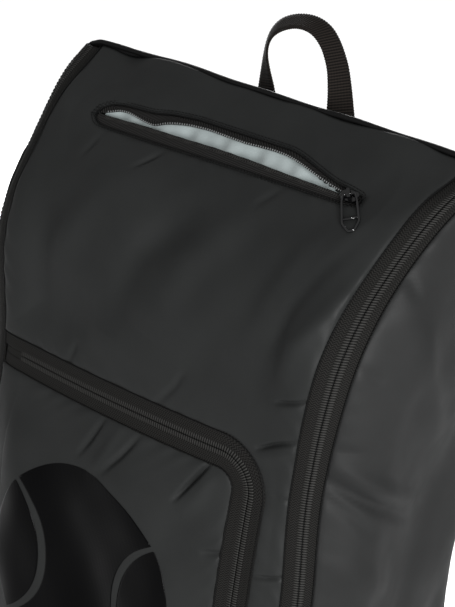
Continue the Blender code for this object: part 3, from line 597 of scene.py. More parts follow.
def herringbone(name, colour, column, pitch, rough=0.8):
    """Zip tape: slanting ribs that turn back at each column, with painted highlights on their crests and
    painted shade between them.
    """
    look = Look(name, colour, rough, Specular_IOR_Level=0.15)
    along, across = look.cloth()
    fold = look.calc("PINGPONG", across, column)
    ribs = look.ridges(look.calc("ADD", along, fold), pitch)
    # Painted light: the ribs' crests painted lighter as highlights, the grooves between them darker as shade.
    look.set("Base Color", look.mix(ribs, shade(colour, 0.25), shade(colour, 2.2)))
    look.bump(look.calc("ADD", ribs, look.calc("MULTIPLY", look.noise(900.0), 0.4)), 0.0003, 0.9)
    return look.material


WEFT = 0.0021
COIL_PITCH = 0.0019


def ticked_coil(name, colour):
    """Tape over a coil: painted highlights as light ticks over the teeth, painted shade in the gaps between
    them.
    """
    look = Look(name, colour, 0.6, Specular_IOR_Level=0.15)
    along, _ = look.cloth()
    ticks = look.calc("POWER", look.ridges(look.calc("ADD", along, COIL_PITCH / 4), COIL_PITCH), 1.6)
    # Painted highlights over the teeth and painted shade in the gaps, at the coil's rib pitch.
    look.set("Base Color", look.mix(ticks, shade(colour, 0.05), shade(colour, 4.2)))
    return look.material


def woven_webbing(name, colour):
    """Ribs along the webbing crossed by rows of weft, with painted highlights where they stand up and painted
    shade where they sink.
    """
    look = Look(name, colour, 0.72, Specular_IOR_Level=0.15)
    along, across = look.cloth()
    columns = look.ridges(across, 0.0029)
    quarter = look.calc("ADD", along, WEFT / 4)
    weft = look.ridges(quarter, WEFT)
    height = look.calc("ADD", look.calc("MULTIPLY", columns, 0.25), weft)
    raised = look.remap(height, 0.1, 1.15, 0.0, 1.0)
    # Painted highlights on the raised weave and painted shade in its hollows.
    look.set("Base Color", look.mix(raised, shade(colour, 0.12), shade(colour, 2.7)))
    look.bump(height, 0.0004, 0.8)
    return look.material


def soft_lining(name, colour, rough, sheen):
    """Silvery sheet with small creases."""
    look = Look(name, colour, rough, Specular_IOR_Level=0.5, Sheen_Weight=sheen)
    look.vary(0.07, 30.0)
    creases, grain = look.noise(160.0, 4.0), look.calc("MULTIPLY", look.noise(900.0), 0.3)
    look.bump(look.calc("ADD", creases, grain), 0.0004, 0.35)
    return look.material


def gloss_film(name, colour):
    """Heat-set film that lets the coarse weave under it show in its shine."""
    look = Look(name, colour, 0.2, Specular_IOR_Level=0.06)
    along, across = look.cloth()
    shifted = look.calc("ADD", along, look.calc("MULTIPLY", across, 0.45))
    weave = look.calc("MULTIPLY", look.ridges(shifted, 0.0042), look.ridges(across, 0.0021))
    look.set("Roughness", look.remap(look.noise(60.0, 3.0), 0.3, 0.7, 0.10, 0.18))
    look.bump(look.calc("ADD", weave, look.calc("MULTIPLY", look.noise(140.0), 0.6)), 0.00012, 0.5)
    return look.material


def air_mesh(name, colour):
    """Knitted spacer mesh: rows of small open cells, with painted shade in the cells and the knit round them
    painted lighter.
    """
    look = Look(name, colour, 0.85, Specular_IOR_Level=0.12)
    along, across = look.cloth()
    shifted = look.calc("ADD", along, look.calc("MULTIPLY", look.ridges(across, 0.0064), 0.0016))
    cells = look.calc("MULTIPLY", look.ridges(shifted, 0.0032), look.ridges(across, 0.0032))
    # Painted shade in the open cells; the knit round them painted lighter.
    look.set("Base Color", look.mix(cells, shade(colour, 1.25), shade(colour, 0.3)))
    look.bump(look.calc("SUBTRACT", 1.0, cells), 0.0009, 0.9)
    return look.material


def moulded(name, colour, rough, grain=0.00008, **more):
    """Plastic, metal or thread with a fine grain."""
    look = Look(name, colour, rough, **more)
    look.set("Roughness", look.remap(look.noise(55.0, 4.0), 0.3, 0.7, rough * 0.85, rough * 1.2))
    look.bump(look.noise(1400.0, 2.0), grain, 0.5)
    return look.material


LOOKS = {
    "shell": coated_cloth("shell_cloth", (0.0195, 0.0205, 0.0203), 0.48),
    # The side panels' cloth is a little lighter than the front's: painted light falling on the sides.
    "side_shell": coated_cloth("side_shell_cloth", (0.0215, 0.0220, 0.0220), 0.5),
    "base_fabric": coated_cloth("base_cloth", (0.0120, 0.0120, 0.0122), 0.6),
    "tape": herringbone("zip_tape", (0.0080, 0.0077, 0.0071), 0.0018, 0.0019),
    "lip_tape": herringbone("lip_tape", (0.0120, 0.0116, 0.0112), 0.0090, 0.0024),
    "coil": ticked_coil("zip_coil", (0.0098, 0.0096, 0.0090)),
    # Light grey teeth: painted highlights on teeth that are black.
    "teeth": moulded("zip_teeth", (0.140, 0.145, 0.145), 0.3, Specular_IOR_Level=0.5),
    "webbing": woven_webbing("webbing", (0.0085, 0.0066, 0.0054)),
    "piping": moulded("piping", (0.005, 0.005, 0.005), 0.5, Specular_IOR_Level=0.15),
    "thread": moulded("thread", (0.0035, 0.0035, 0.0035), 0.55, Specular_IOR_Level=0.15),
    "hardware": moulded("enamelled_metal", (0.003, 0.003, 0.0033), 0.12, 0.00001, Specular_IOR_Level=0.6),
    "lining": soft_lining("silver_lining", (0.44, 0.50, 0.50), 0.38, 0.15),
    "pocket_lining": coated_cloth("pocket_lining", (0.022, 0.023, 0.024), 0.62),
    "film": gloss_film("gloss_film", (0.0015, 0.0015, 0.0017)),
    "padding": air_mesh("air_mesh", (0.018, 0.018, 0.0185)),
    "buckle": moulded("buckle_plastic", (0.010, 0.010, 0.010), 0.38, Specular_IOR_Level=0.25),
    "board": moulded("board_plastic", (0.026, 0.026, 0.027), 0.5, Specular_IOR_Level=0.3),
}


# Folds --------------------------------------------------------------------------------------------

FRONT_WAVES = ((0.0030, 34, 14, 0.4), (0.0020, 19, -27, 1.9), (0.0014, 57, 23, 3.3),
               (0.0009, -45, 49, 5.1), (0.0005, 93, 64, 2.2), (0.0003, 131, -83, 0.9))
SIDE_WAVES = ((0.0020, 27, 15, 1.1), (0.0013, -34, 31, 0.3), (0.0008, 63, -41, 4.2),
              (0.0004, 85, 77, 2.6), (0.0002, -121, 66, 5.5))

# Folds: a line of pairs, a half width and a height; pinches are narrow and sunk
FRONT_FOLDS = (
    (((0.157, 0.664), (0.148, 0.640), (0.137, 0.617), (0.124, 0.596), (0.118, 0.566)), 0.0070, 0.0032),
    (((0.140, 0.668), (0.124, 0.643), (0.113, 0.618), (0.102, 0.580)), 0.0065, -0.0022),
    (((0.120, 0.672), (0.103, 0.648), (0.093, 0.620), (0.086, 0.585)), 0.0090, 0.0022),
    (((-0.150, 0.672), (-0.132, 0.640), (-0.112, 0.612)), 0.0100, -0.0018),
    (((-0.120, 0.690), (-0.080, 0.702), (-0.020, 0.706)), 0.0060, 0.0014),
    (((0.020, 0.708), (0.070, 0.703), (0.130, 0.694)), 0.0055, 0.0014),
    (((-0.075, 0.640), (-0.088, 0.600), (-0.092, 0.540)), 0.0130, 0.0036),
    (((0.050, 0.662), (0.020, 0.620), (0.004, 0.560)), 0.0150, 0.0048),
    (((0.004, 0.650), (-0.020, 0.610), (-0.030, 0.550)), 0.0120, -0.0034),
    (((0.1370, 0.5610), (0.1290, 0.5575), (0.1170, 0.5532)), 0.0013, -0.0034),
    (((0.1180, 0.5480), (0.1370, 0.5560)), 0.0050, 0.0012),
    (((0.1080, 0.5150), (0.1200, 0.5220), (0.1360, 0.5300)), 0.0014, -0.0042),
    (((0.1120, 0.5100), (0.1250, 0.5160), (0.1380, 0.5230)), 0.0045, 0.0016),
    (((0.1220, 0.4228), (0.1320, 0.4250), (0.1440, 0.4290)), 0.0013, -0.0032),
    (((0.1225, 0.4880), (0.1400, 0.4845)), 0.0018, -0.0012),
    (((0.0200, 0.5160), (0.0330, 0.5330), (0.0400, 0.5480)), 0.0030, -0.0016),
    (((-0.0660, 0.5165), (-0.0610, 0.5350)), 0.0030, -0.0016),
    (((-0.0450, 0.6735), (-0.0560, 0.6590)), 0.0022, -0.0024),
    (((-0.1020, 0.6730), (-0.1060, 0.6560)), 0.0030, -0.0016),
    (((0.0600, 0.6760), (0.0480, 0.6640)), 0.0026, -0.0014),
)
SIDE_FOLDS = (
    (((0.001, 0.506), (0.040, 0.484), (0.085, 0.458)), 0.0044, -0.0056),
    (((0.004, 0.517), (0.045, 0.496), (0.090, 0.472)), 0.0062, 0.0048),
    (((0.001, 0.494), (0.022, 0.480), (0.040, 0.462)), 0.0035, -0.0022),
    (((0.001, 0.530), (0.024, 0.527)), 0.0030, -0.0016),
    (((0.004, 0.445), (0.040, 0.424), (0.080, 0.405)), 0.0110, 0.0026),
    (((0.010, 0.640), (0.050, 0.590), (0.100, 0.520)), 0.0110, 0.0042),
    (((0.001, 0.650), (0.020, 0.634)), 0.0030, -0.0020),
    (((0.001, 0.590), (0.022, 0.580)), 0.0028, -0.0018),
    (((0.120, 0.480), (0.090, 0.380), (0.100, 0.280)), 0.0150, -0.0030),
    (((0.001, 0.380), (0.030, 0.372)), 0.0030, -0.0018),
    (((0.020, 0.120), (0.080, 0.090), (0.150, 0.095)), 0.0090, 0.0026),
)
LEFT_FOLDS = 0.45
COVER_FOLDS = (
    (((0.0735, 0.4905), (0.0655, 0.4770), (0.0530, 0.4560)), 0.0019, -0.0052),
    (((0.0790, 0.4860), (0.0720, 0.4680), (0.0600, 0.4480)), 0.0060, 0.0022),
    (((0.0120, 0.4880), (0.0020, 0.4700), (-0.0110, 0.4520)), 0.0026, -0.0034),
    (((-0.0220, 0.4880), (-0.0300, 0.4700), (-0.0390, 0.4540)), 0.0026, -0.0034),
    (((-0.0050, 0.4880), (-0.0130, 0.4660), (-0.0220, 0.4480)), 0.0045, 0.0018),
    (((0.0960, 0.4300), (0.0800, 0.4270)), 0.0024, -0.0024),
    (((0.0950, 0.3400), (0.0780, 0.3450)), 0.0026, -0.0024),
    (((0.0950, 0.2300), (0.0700, 0.2240)), 0.0030, -0.0024),
    (((0.0700, 0.0820), (0.0560, 0.1060)), 0.0030, -0.0028),
    (((0.0000, 0.0820), (0.0080, 0.1040)), 0.0030, -0.0026),
    (((-0.0600, 0.0820), (-0.0560, 0.1000)), 0.0030, -0.0024),
)


def waves(a, b, table):
    return sum(height * np.sin(ka * a + kb * b + phase) for height, ka, kb, phase in table)


def fold_height(a, b, line, width, height):
    """One fold: a rounded ridge or a pinch along a line, fading at both ends."""
    line = np.array(line)
    total = lengths(line)
    best = np.full(np.shape(a), 1e9)
    share = np.zeros(np.shape(a))
    for i in range(len(line) - 1):
        (a0, b0), (da, db) = line[i], line[i + 1] - line[i]
        t = np.clip(((a - a0) * da + (b - b0) * db) / (da * da + db * db), 0.0, 1.0)
        away = np.hypot(a - a0 - t * da, b - b0 - t * db)
        nearer = away < best
        best = np.where(nearer, away, best)
        share = np.where(nearer, lerp(total[i], total[i + 1], t) / total[-1], share)
    fade = np.sin(math.pi * np.clip(0.08 + 0.9 * share, 0, 1)) ** 0.8
    return height * fade * np.exp(-(best / width) ** 2)


def folds(a, b, table):
    return sum(fold_height(a, b, *fold) for fold in table)


PUCKER_REACH = 0.008
ROLL_LOW = -0.0012
ROLL_RISE = 0.0021
ROLL_REACH = 0.0022
TUCK_SLOPE = 0.3


def pucker(along, away, depth=0.00045):
    """Small ripples that a seam pulls into the cloth beside it."""
    ripple = np.sin(along * 300 + 2.2 * np.sin(along * 57)) + 0.6 * np.sin(along * 131 + 1.3)
    return depth * ripple * np.exp(-np.maximum(away, 0.0) / PUCKER_REACH) * smooth(away / 0.003)


def rolled_edge(away):
    """Height of cloth that turns under at its sewn edge, by the distance from that edge."""
    rise = ROLL_RISE * (1 - np.exp(-np.maximum(away, 0.0) / ROLL_REACH))
    return ROLL_LOW + rise - TUCK_SLOPE * np.maximum(-away, 0.0)


# The slit high on the front -----------------------------------------------------------------------

def slope():
    """Uphill direction and outward normal of the front at the slit."""
    step = 0.001
    uphill = unit(skin_flat(0.0, SLIT_Z + step) - skin_flat(0.0, SLIT_Z - step))
    return uphill, outward(np.array(0.0), np.array(SLIT_Z))


UPHILL, SLOPE_NORMAL = slope()
SLIT_HEIGHTS = np.linspace(0.640, 0.7185, 400)
SLIT_RISES = (skin_flat(0.0, SLIT_HEIGHTS) - skin_flat(0.0, SLIT_Z)) @ UPHILL

SLIT_LEFT = -0.121
SLIT_END = 0.118
# Edges of the slit in millimetres: distance across the bag and distance uphill
HEM_TOP = ((-121, 3.5), (-117, 8.6), (-112, 11.3), (-104, 13.2), (-85, 14.4), (-76, 15.2), (-61, 19.3),
           (-39, 21.9), (33, 22.3), (45, 22.4), (54, 20.6), (76, 13.0), (86, 9.6), (95, 7.4), (106, 6.0),
           (118, 3.4))
LIP_TOP = ((-117, 0.3), (-112, 2.8), (-104, 6.3), (-95, 7.1), (-85, 5.7), (-76, 4.2), (-68, 4.0), (-61, 7.6),
           (-50, 10.9), (-39, 13.1), (-24, 14.4), (10, 13.4), (33, 15.3), (45, 14.9), (54, 13.4), (76, 7.4),
           (95, 3.2), (106, 1.2), (118, 0.4))
LIP_LOW = ((-117, -0.4), (-104, 0.0), (-76, 1.5), (-39, 2.3), (-7, 3.3), (22, 3.0), (54, 1.7), (95, 0.7),
           (118, -0.4))
HEM_LOW = ((-121, -1.5), (-117, -6.6), (-112, -9.2), (-104, -10.0), (-50, -9.2), (-7, -8.0), (22, -7.3),
           (106, -6.1), (118, -3.6))
EDGE_SPREAD = 0.0026
hem_top, lip_top, lip_low, hem_low = (eased_curve(np.array(pairs) / 1000, EDGE_SPREAD)
                                      for pairs in (HEM_TOP, LIP_TOP, LIP_LOW, HEM_LOW))


def slit_z(rise):
    return np.interp(rise, SLIT_RISES, SLIT_HEIGHTS)


def slit_point(x, rise, lift=0.0):
    return skin(x, slit_z(rise), lift)


def slit_depth(x, z):
    """How far inside the slit's hem a place is; negative outside."""
    rise = np.interp(z, SLIT_HEIGHTS, SLIT_RISES)
    ends = np.minimum(x - SLIT_LEFT, SLIT_END - x)
    inside = np.minimum(hem_top(x) - rise, rise - hem_low(x))
    beyond = -np.hypot(np.minimum(ends, 0), np.minimum(inside, 0)) - 1e-4
    return np.where(ends < 0, beyond, np.minimum(inside, ends * 3))


# The front pocket's shape -------------------------------------------------------------------------

def pocket_depth(x, z, offset):
    """Distance inside the pocket's outline, moved out from its zip's middle line by an offset."""
    turn = POCKET_TURN + offset
    middle = (POCKET_TOP + POCKET_LOW) / 2
    across = x - (POCKET_RIGHT - POCKET_TURN)
    up = np.abs(z - middle) - ((POCKET_TOP - POCKET_LOW) / 2 - POCKET_TURN)
    outside = np.hypot(np.maximum(across, 0), np.maximum(up, 0))
    return turn - np.where((across > 0) & (up > 0), outside, np.maximum(across, up))


def pocket_bulge(x, z):
    across = np.clip((x - POCKET_LEFT) / (POCKET_RIGHT - POCKET_LEFT), 0, 1)
    up = np.clip((z - POCKET_LOW) / (POCKET_TOP - POCKET_LOW), 0, 1)
    return POCKET_BULGE * smooth(6 * across * (1 - across)) * smooth(6 * up * (1 - up))


def pocket_path(start, end):
    """Middle line of the pocket's zip, from top left round to bottom left, and its outward directions."""
    right = POCKET_RIGHT - POCKET_TURN
    top, low = POCKET_TOP - POCKET_TURN, POCKET_LOW + POCKET_TURN
    angles = np.linspace(math.pi / 2, 0, 24)
    ahead = np.linspace(start, right, 60)[:-1]
    down = np.linspace(top, low, 90)[1:-1]
    back = np.linspace(right, end, 60)[1:]
    cos, sin = np.cos(angles), np.sin(angles)
    away = np.stack([np.concatenate([0 * ahead, cos, 1 + 0 * down, cos[::-1], 0 * back]),
                     np.concatenate([1 + 0 * ahead, sin, 0 * down, -sin[::-1], 0 * back - 1])], -1)
    turn = right + POCKET_TURN * cos
    x = np.concatenate([ahead, turn, POCKET_RIGHT + 0 * down, turn[::-1], back])
    z = np.concatenate([POCKET_TOP + 0 * ahead, top + POCKET_TURN * sin, down, low - POCKET_TURN * sin[::-1],
                        POCKET_LOW + 0 * back])
    return np.stack([x, z], -1), away


# Shell --------------------------------------------------------------------------------------------

TUCKED = 0.0009  # how far a sewn edge goes under its tape
HIDDEN_DEPTH = 0.0035  # cloth further in than this is left out
SIDE_PUFF = 0.0055
BASE_SEAM = 0.034
BASE_PIPING = 0.0011
REAR_PIPING = 0.0016
RIDGE_PIPING = 0.0021
RIDGE_TAPE_PLACE = (0.0, 0.0042, -0.0028)
RIDGE_TAPE_DOWN = (0.0, 0.75, -0.66)
RIDGE_TAPE_OUT = (0.0, 0.66, 0.75)
RIDGE_TAPE = ((-0.004, -0.0006), (0.005, -0.0006), (0.006, 0.0), (0.005, 0.0008), (-0.004, 0.0008))


def front_lift(x, z, away):
    """Folds of the front shell; away is the distance to its nearest sewn edge."""
    slow = waves(x, z, FRONT_WAVES) * smooth(away / 0.040)
    return slow + folds(x, z, FRONT_FOLDS) * smooth(away / 0.002) + pucker(x + z, away)


def shown_cells(depth, least):
    """Which cells of a grid lie deeper than a least depth at their middle."""
    return (depth[:-1, :-1] + depth[1:, 1:]) / 2 > least


def front_shell():
    """Front panel, left open at the pocket and the slit."""
    z = np.concatenate([np.linspace(SHELL_LOW, 0.40, 180), np.linspace(0.4015, 0.655, 190),
                        np.linspace(0.6562, SHELL_TOP, 66)])[:, None]
    share = np.linspace(-1, 1, 240)[None]
    edge = zip_inner(z) + TUCKED
    arc = share * edge
    x = skin_flat(arc, z)[..., 0]
    to_zip = edge - np.abs(arc)
    to_pocket = -pocket_depth(x, z, POCKET_ZIP_HALF - TUCKED)
    to_slit = -slit_depth(x, z)
    away = np.minimum(np.minimum(to_zip, to_pocket), to_slit)
    points = skin(arc, z, rolled_edge(away) + front_lift(x, z, away))
    shown = shown_cells(away, -HIDDEN_DEPTH)
    made = sheet("front_shell", points, "shell", (arc, z + 0 * arc), shown)
    put(made, "bag", "shell", "front_panel")


def side_shell(side):
    """Side panel from its zip to the rear corner."""
    z = np.linspace(SHELL_LOW, SHELL_TOP - 0.001, 240)[:, None]
    share = np.linspace(0, 1, 80)[None]
    low, high = zip_outer(z) - TUCKED, side_end(z)
    arc = lerp(low, high, share)
    start, end = arc - low, high - arc
    room = smooth((SHELL_TOP - z) / 0.10) * smooth((z - BASE_TOP + 0.01) / 0.06)
    puff = SIDE_PUFF * smooth(start / 0.045) * smooth(end / 0.05)
    slow = waves(start, z, SIDE_WAVES) * smooth(start / 0.03) * smooth(end / 0.03)
    sharp = folds(start, z + 0 * start, SIDE_FOLDS) * (1.0 if side > 0 else LEFT_FOLDS)
    lift = rolled_edge(start) + (puff + slow + sharp) * room + pucker(z + 0 * start, start)
    points = skin(side * arc, z, lift)
    if side < 0:
        points, arc = points[:, ::-1], arc[:, ::-1]
    made = sheet(f"side_shell_{side_name(side)}", points, "side_shell", (arc, z + 0 * arc))
    put(made, "bag", "side_shell", f"side_panel_{side_name(side)}")


def base_band():
    """Heavy cloth round the foot, and the floor under it."""
    foot = (0.0, 0.0006, 0.0016, 0.003, 0.005, 0.0075)
    z = np.concatenate([foot, np.linspace(BASE_EDGE, BASE_TOP, 8)])[:, None]
    total = half_round(z)
    share = np.linspace(-1, 1, 240, endpoint=False)[None]
    lift = 0.0004 + 0.0006 * smooth(z / 0.02) + 0.0003 * np.sin(share * 71) * smooth(z / 0.02)
    lift = lift - 0.0008 * smooth((z - BASE_TOP + 0.0015) / 0.0015)
    rings = skin(share * total, z, lift)
    rings[..., 2] = np.maximum(z, 0.0) + 0 * share
    flat_ring = rings[:1] * np.array((0.6, 0.6, 1.0))
    inner = skin(share * total[-1:], z[-1:], -0.0012)
    rings = np.concatenate([flat_ring, rings, inner])
    uv = (np.broadcast_to(share * 0.55, rings.shape[:2]), np.linspace(0, 0.06, len(rings))[:, None])
    made = tube("base_shell", rings, "base_fabric", uv)
    put(made, "bag", "base_fabric", "base_band", "base_panel")
    share = share[0]
    ring = skin(share * total[-1, 0], BASE_TOP + 0 * share, 0.0010)
    normals = outward(share * total[-1, 0], BASE_TOP + 0 * share)
    binding = cord("base_binding", ring, normals, BASE_PIPING, "piping", closed=True, count=8)
    put(binding, "bag", "piping")
    low = skin(share * half_round(BASE_SEAM), BASE_SEAM + 0 * share, 0.0011)
    put(stitches("base_stitches", [(low, normals)]), "bag", "base_fabric")


def rear_shell():
    """Rear panel, with piping down both of its sides."""
    z = np.linspace(SHELL_LOW, SHELL_TOP, 120)[:, None]
    share = np.linspace(0, 1, 110)[None]
    arc = lerp(side_end(z), 2 * half_round(z) - side_end(z), share)
    away = np.minimum(arc - side_end(z), 2 * half_round(z) - side_end(z) - arc)
    lift = -0.0006 + 0.0010 * smooth(away / 0.006) + waves(arc, z, SIDE_WAVES) * 0.25 * smooth(away / 0.03)
    made = sheet("rear_shell", skin(arc, z, lift), "padding", (arc, z + 0 * arc))
    put(made, "bag", "padding", "rear_panel")
    for side in (-1, 1):
        path_z = np.linspace(BASE_TOP, SHELL_TOP - 0.004, 160)
        seam = skin(side * side_end(path_z), path_z, 0.0004)
        normals = outward(side * side_end(path_z), path_z)
        piece = cord(f"rear_piping_{side_name(side)}", seam, normals, REAR_PIPING, "piping", count=8)
        put(piece, "bag", "piping")


def top_seam():
    """Piping along the ridge, with small waves, and a tape behind it."""
    x = np.linspace(-TOP_HALF_WIDTH + 0.004, TOP_HALF_WIDTH - 0.004, 200)
    wave = 0.0004 * np.sin(x * 83 + 2.1) + ridge_at(x) - 0.0030 * smooth((np.abs(x) - 0.170) / 0.012)
    path = np.stack([x, RIDGE_Y + 0 * x, HEIGHT + 0.0004 + wave], -1)
    normals = np.tile(UP, (len(x), 1))
    piping = cord("ridge_piping", path, normals, RIDGE_PIPING, "piping", count=10)
    put(piping, "bag", "piping", "top_piping")
    down, out = (np.tile(way, (len(x), 1)) for way in (RIDGE_TAPE_DOWN, RIDGE_TAPE_OUT))
    rings = section_rings(path + RIDGE_TAPE_PLACE, down, out, RIDGE_TAPE)
    uv = (x[:, None], np.linspace(0, 0.012, 5)[None])
    put(tube("ridge_tape", rings, "webbing", uv), "bag", "webbing")


# Zips ---------------------------------------------------------------------------------------------

RIB_SAMPLES = 4
TAPE_LIFT = -0.0003
TAPE_PITCH = 0.003
TAPE_THICK = 0.0006
COIL_EDGE = 0.0027  # half the width that the two coils cover
SEAM_IN = 0.0004  # from a tape's outer edge to its seam
# Radius of the dark cords that are painted shadow in the seams' grooves
GROOVE_SHADOW_RADIUS = 0.00048
THREAD_LIFT = 0.0005
COIL_START = -0.1145
SEWN_END_HALF = 0.0112
# Section of one coil: distance from the zip's middle, height, and its share in the ribs
COIL_SECTION = ((0.0003, -0.0007, 0.0), (0.0040, -0.0007, 0.3), (0.0041, -0.0002, 0.8), (0.0033, 0.0003, 1.2),
                (0.0014, 0.0005, 1.2), (0.0003, 0.0001, 0.6))
COIL_DIP = -0.00062


def ribbed_coil(name, place, count, flip=False):
    """One side of a reversed coil, with a rib for each tooth; place(d, lift) gives rows of points."""
    d, rise, ribs = np.array(COIL_SECTION).T
    phase = np.arange(count) % RIB_SAMPLES / RIB_SAMPLES
    dip = COIL_DIP * (0.5 - 0.5 * np.cos(2 * math.pi * phase))
    lift = rise[None] + ribs[None] * dip[:, None]
    rings = place(np.broadcast_to(d, lift.shape), lift)
    uv = ((np.arange(count) * COIL_PITCH / RIB_SAMPLES)[:, None], np.linspace(0, 0.004, len(d))[None])
    return tube(name, rings[:, ::-1] if flip else rings, "coil", uv)


def main_zip(side):
    """Tapes, coils, seams and backing of one side zip."""
    name = side_name(side)
    dense = np.linspace(BASE_TOP - 0.001, SHELL_TOP - 0.0015, 600)
    middle = skin(side * zip_middle(dense), dense)
    _, _, fine = resample(middle, COIL_PITCH / RIB_SAMPLES, dense)
    s, _, z = resample(middle, TAPE_PITCH, dense)

    def place(stations):
        return lambda d, lift: skin(side * (zip_middle(stations) + d), stations, lift)

    for part, sign, half in (("front", -1, ZIP_HALF), ("side", 1, SIDE_TAPE)):
        d = np.linspace(*sorted((sign * COIL_EDGE, sign * (half + 0.0004))), 6)
        cup = 0.0003 * smooth((np.abs(d) - 0.005) / 0.006)
        points = place(z)(d[None], TAPE_LIFT - cup[None] + 0 * z)[:, ::side]
        uv = (s[:, None], d[None, ::side])
        piece = sheet(f"main_tape_{name}_{part}", points, "tape", uv, thick=TAPE_THICK)
        put(piece, "bag", "tape", f"main_zip_{name}_tape_{part}")
        coil = ribbed_coil(f"main_coil_{name}_{part}", lambda d, lift: place(fine)(sign * d, lift),
                           len(fine), flip=sign * side > 0)
        put(coil, "bag", "coil", f"main_zip_{name}_coil_{part}")
    lines = []
    for d in (-ZIP_HALF + SEAM_IN, SIDE_TAPE - SEAM_IN):
        path = place(z)(np.full((len(z), 1), d), np.full((len(z), 1), -0.0001))[:, 0]
        normals = outward(side * (zip_middle(z) + d), z)[:, 0]
        lines.append((path, normals))
    # Dark cords along both seams: painted shadow of the grooves beside the tapes.
    groove = [cord("groove", path, normals, GROOVE_SHADOW_RADIUS, "thread") for path, normals in lines]
    put(join(f"main_groove_{name}", groove), "bag", "tape")
    raised = [(path + normals * THREAD_LIFT, normals) for path, normals in lines]
    put(stitches(f"main_stitches_{name}", raised), "bag", "tape")
    points = place(z)(np.linspace(-0.006, 0.006, 4)[None], -0.0016 + 0 * z)[:, ::side]
    uv = (s[:, None], np.linspace(0, 0.012, 4)[None])
    put(sheet(f"main_backing_{name}", points, "pocket_lining", uv, thick=0.0004), "bag", "tape")


def pocket_track(start, end, pitch, with_cover):
    """Lengths along the pocket's zip, and a function that puts points at distances and heights beside it."""
    path, away = pocket_path(start, end)
    s, path, away = resample(path, pitch, away)
    x, z = path[:, :1], path[:, 1:]
    away_x, away_z = away[:, :1], away[:, 1:]

    def place(d, lift):
        px, pz = x + away_x * d, z + away_z * d
        extra = pocket_bulge(px, pz) if with_cover else 0.0
        return front_point(px, pz, lift + extra)

    return s, place


def pocket_tape(name, track, d):
    """Flat band of the pocket's zip, at distances from its middle."""
    s, place = track
    points = place(d[None], TAPE_LIFT + 0 * s[:, None])[:, ::-1]
    return sheet(name, points, "tape", (s[:, None], d[None, ::-1]), thick=TAPE_THICK)


def edge_threads(name, track, d, body):
    """Painted shadow of the seam's groove, as a dark cord, and stitches along one edge of the pocket's zip.
    """
    s, place = track
    across = np.full((len(s), 1), d)
    path, lifted = (place(across, lift + 0 * across)[:, 0] for lift in (-0.0001, 0.0009))
    normals = unit(lifted - path)
    # The dark cord is painted shadow of the groove at the seam.
    put(cord(f"{name}_groove", path, normals, GROOVE_SHADOW_RADIUS, "thread"), body, "tape")
    raised = [(path + normals * THREAD_LIFT, normals)]
    put(stitches(f"{name}_stitches", raised), body, "tape")


def pocket_zip():
    """Both halves of the pocket's zip: one on the bag, one on the cover."""
    start = -FRONT_HALF - 0.001
    frame_track = pocket_track(start, start, TAPE_PITCH, False)
    across = np.linspace(COIL_EDGE, POCKET_ZIP_HALF + 0.0006, 6)
    piece = pocket_tape("pocket_tape_frame", frame_track, across)
    put(piece, "bag", "tape", "pocket_zip_tape_frame")
    edge_threads("pocket_frame", frame_track, POCKET_ZIP_HALF - SEAM_IN, "bag")
    s, place = pocket_track(COIL_START, COIL_START, COIL_PITCH / RIB_SAMPLES, False)
    coil = ribbed_coil("pocket_coil_frame", place, len(s))
    put(coil, "bag", "coil", "pocket_zip_coil_frame")

    cover_track = pocket_track(POCKET_LEFT, POCKET_SEWN_END, TAPE_PITCH, True)
    piece = pocket_tape("pocket_tape_cover", cover_track, -across[::-1])
    put(piece, "pocket_cover", "tape", "pocket_zip_tape_cover")
    edge_threads("pocket_cover", cover_track, -POCKET_ZIP_HALF + SEAM_IN, "pocket_cover")
    s, place = pocket_track(COIL_START, POCKET_SEWN_END, COIL_PITCH / RIB_SAMPLES, True)
    coil = ribbed_coil("pocket_coil_cover", lambda d, lift: place(-d, lift), len(s), flip=True)
    put(coil, "pocket_cover", "coil", "pocket_zip_coil_cover")
    sewn_end()
    tape_ends()


def sewn_end():
    """The stretch of the pocket's zip under its parked slider, which stays sewn to the bag."""
    start = POCKET_SEWN_END - 0.0004
    x = np.linspace(start, POCKET_LEFT + 0.0005, 18)[:, None]
    d = np.linspace(-SEWN_END_HALF, -COIL_EDGE, 5)[None]
    points = front_point(x, POCKET_LOW - d, TAPE_LIFT + 0 * x * d)[:, ::-1]
    piece = sheet("pocket_tape_end", points, "tape", (x, -d[:, ::-1]), thick=TAPE_THICK)
    put(piece, "bag", "tape", "pocket_zip_tape_end")
    count = int((POCKET_SEWN_END - COIL_START) / COIL_PITCH * RIB_SAMPLES)
    x = np.linspace(start, COIL_START, count)[:, None]

    def place(d, lift):
        return front_point(x, POCKET_LOW + d, lift)

    put(ribbed_coil("pocket_coil_end", place, count, flip=True), "bag", "coil", "pocket_zip_coil_end")


def tape_ends():
    """Where both tapes of the pocket's zip run together, left of their coils."""
    for name, z in (("top", POCKET_TOP), ("low", POCKET_LOW)):
        x = np.linspace(POCKET_LEFT + 0.0006, -0.1125, 12)[None]
        d = np.linspace(-0.0031, 0.0031, 4)[:, None]
        points = front_point(x, z + d, -0.0004 + 0 * x * d)
        piece = sheet(f"pocket_tape_join_{name}", points, "tape", (x, d), thick=0.0005)
        put(piece, "bag", "tape")


# Front pocket -------------------------------------------------------------------------------------

COVER_INSET = 0.0090
# Distances before and past the hinge's line, across the hem
HEM_BEFORE = np.array((0.003, 0.0, 0.0))
HEM_AFTER = np.array((0.004, 0.0, 0.0))


def cover_lift(x, z):
    """Height of the pocket's cover above the bag's skin."""
    away = pocket_depth(x, z, TUCKED - POCKET_ZIP_HALF)
    to_hinge = x + zip_inner(z)
    calm = smooth(away / 0.05) * smooth(to_hinge / 0.04)
    lift = pocket_bulge(x, z) + waves(x, z, FRONT_WAVES) * 1.2 * calm
    lift = lift + folds(x, z, COVER_FOLDS) * smooth(away / 0.002) + pucker(x - z, away, 0.0006)
    return lift + rolled_edge(np.minimum(away, np.maximum(to_hinge + TUCKED, 0)))


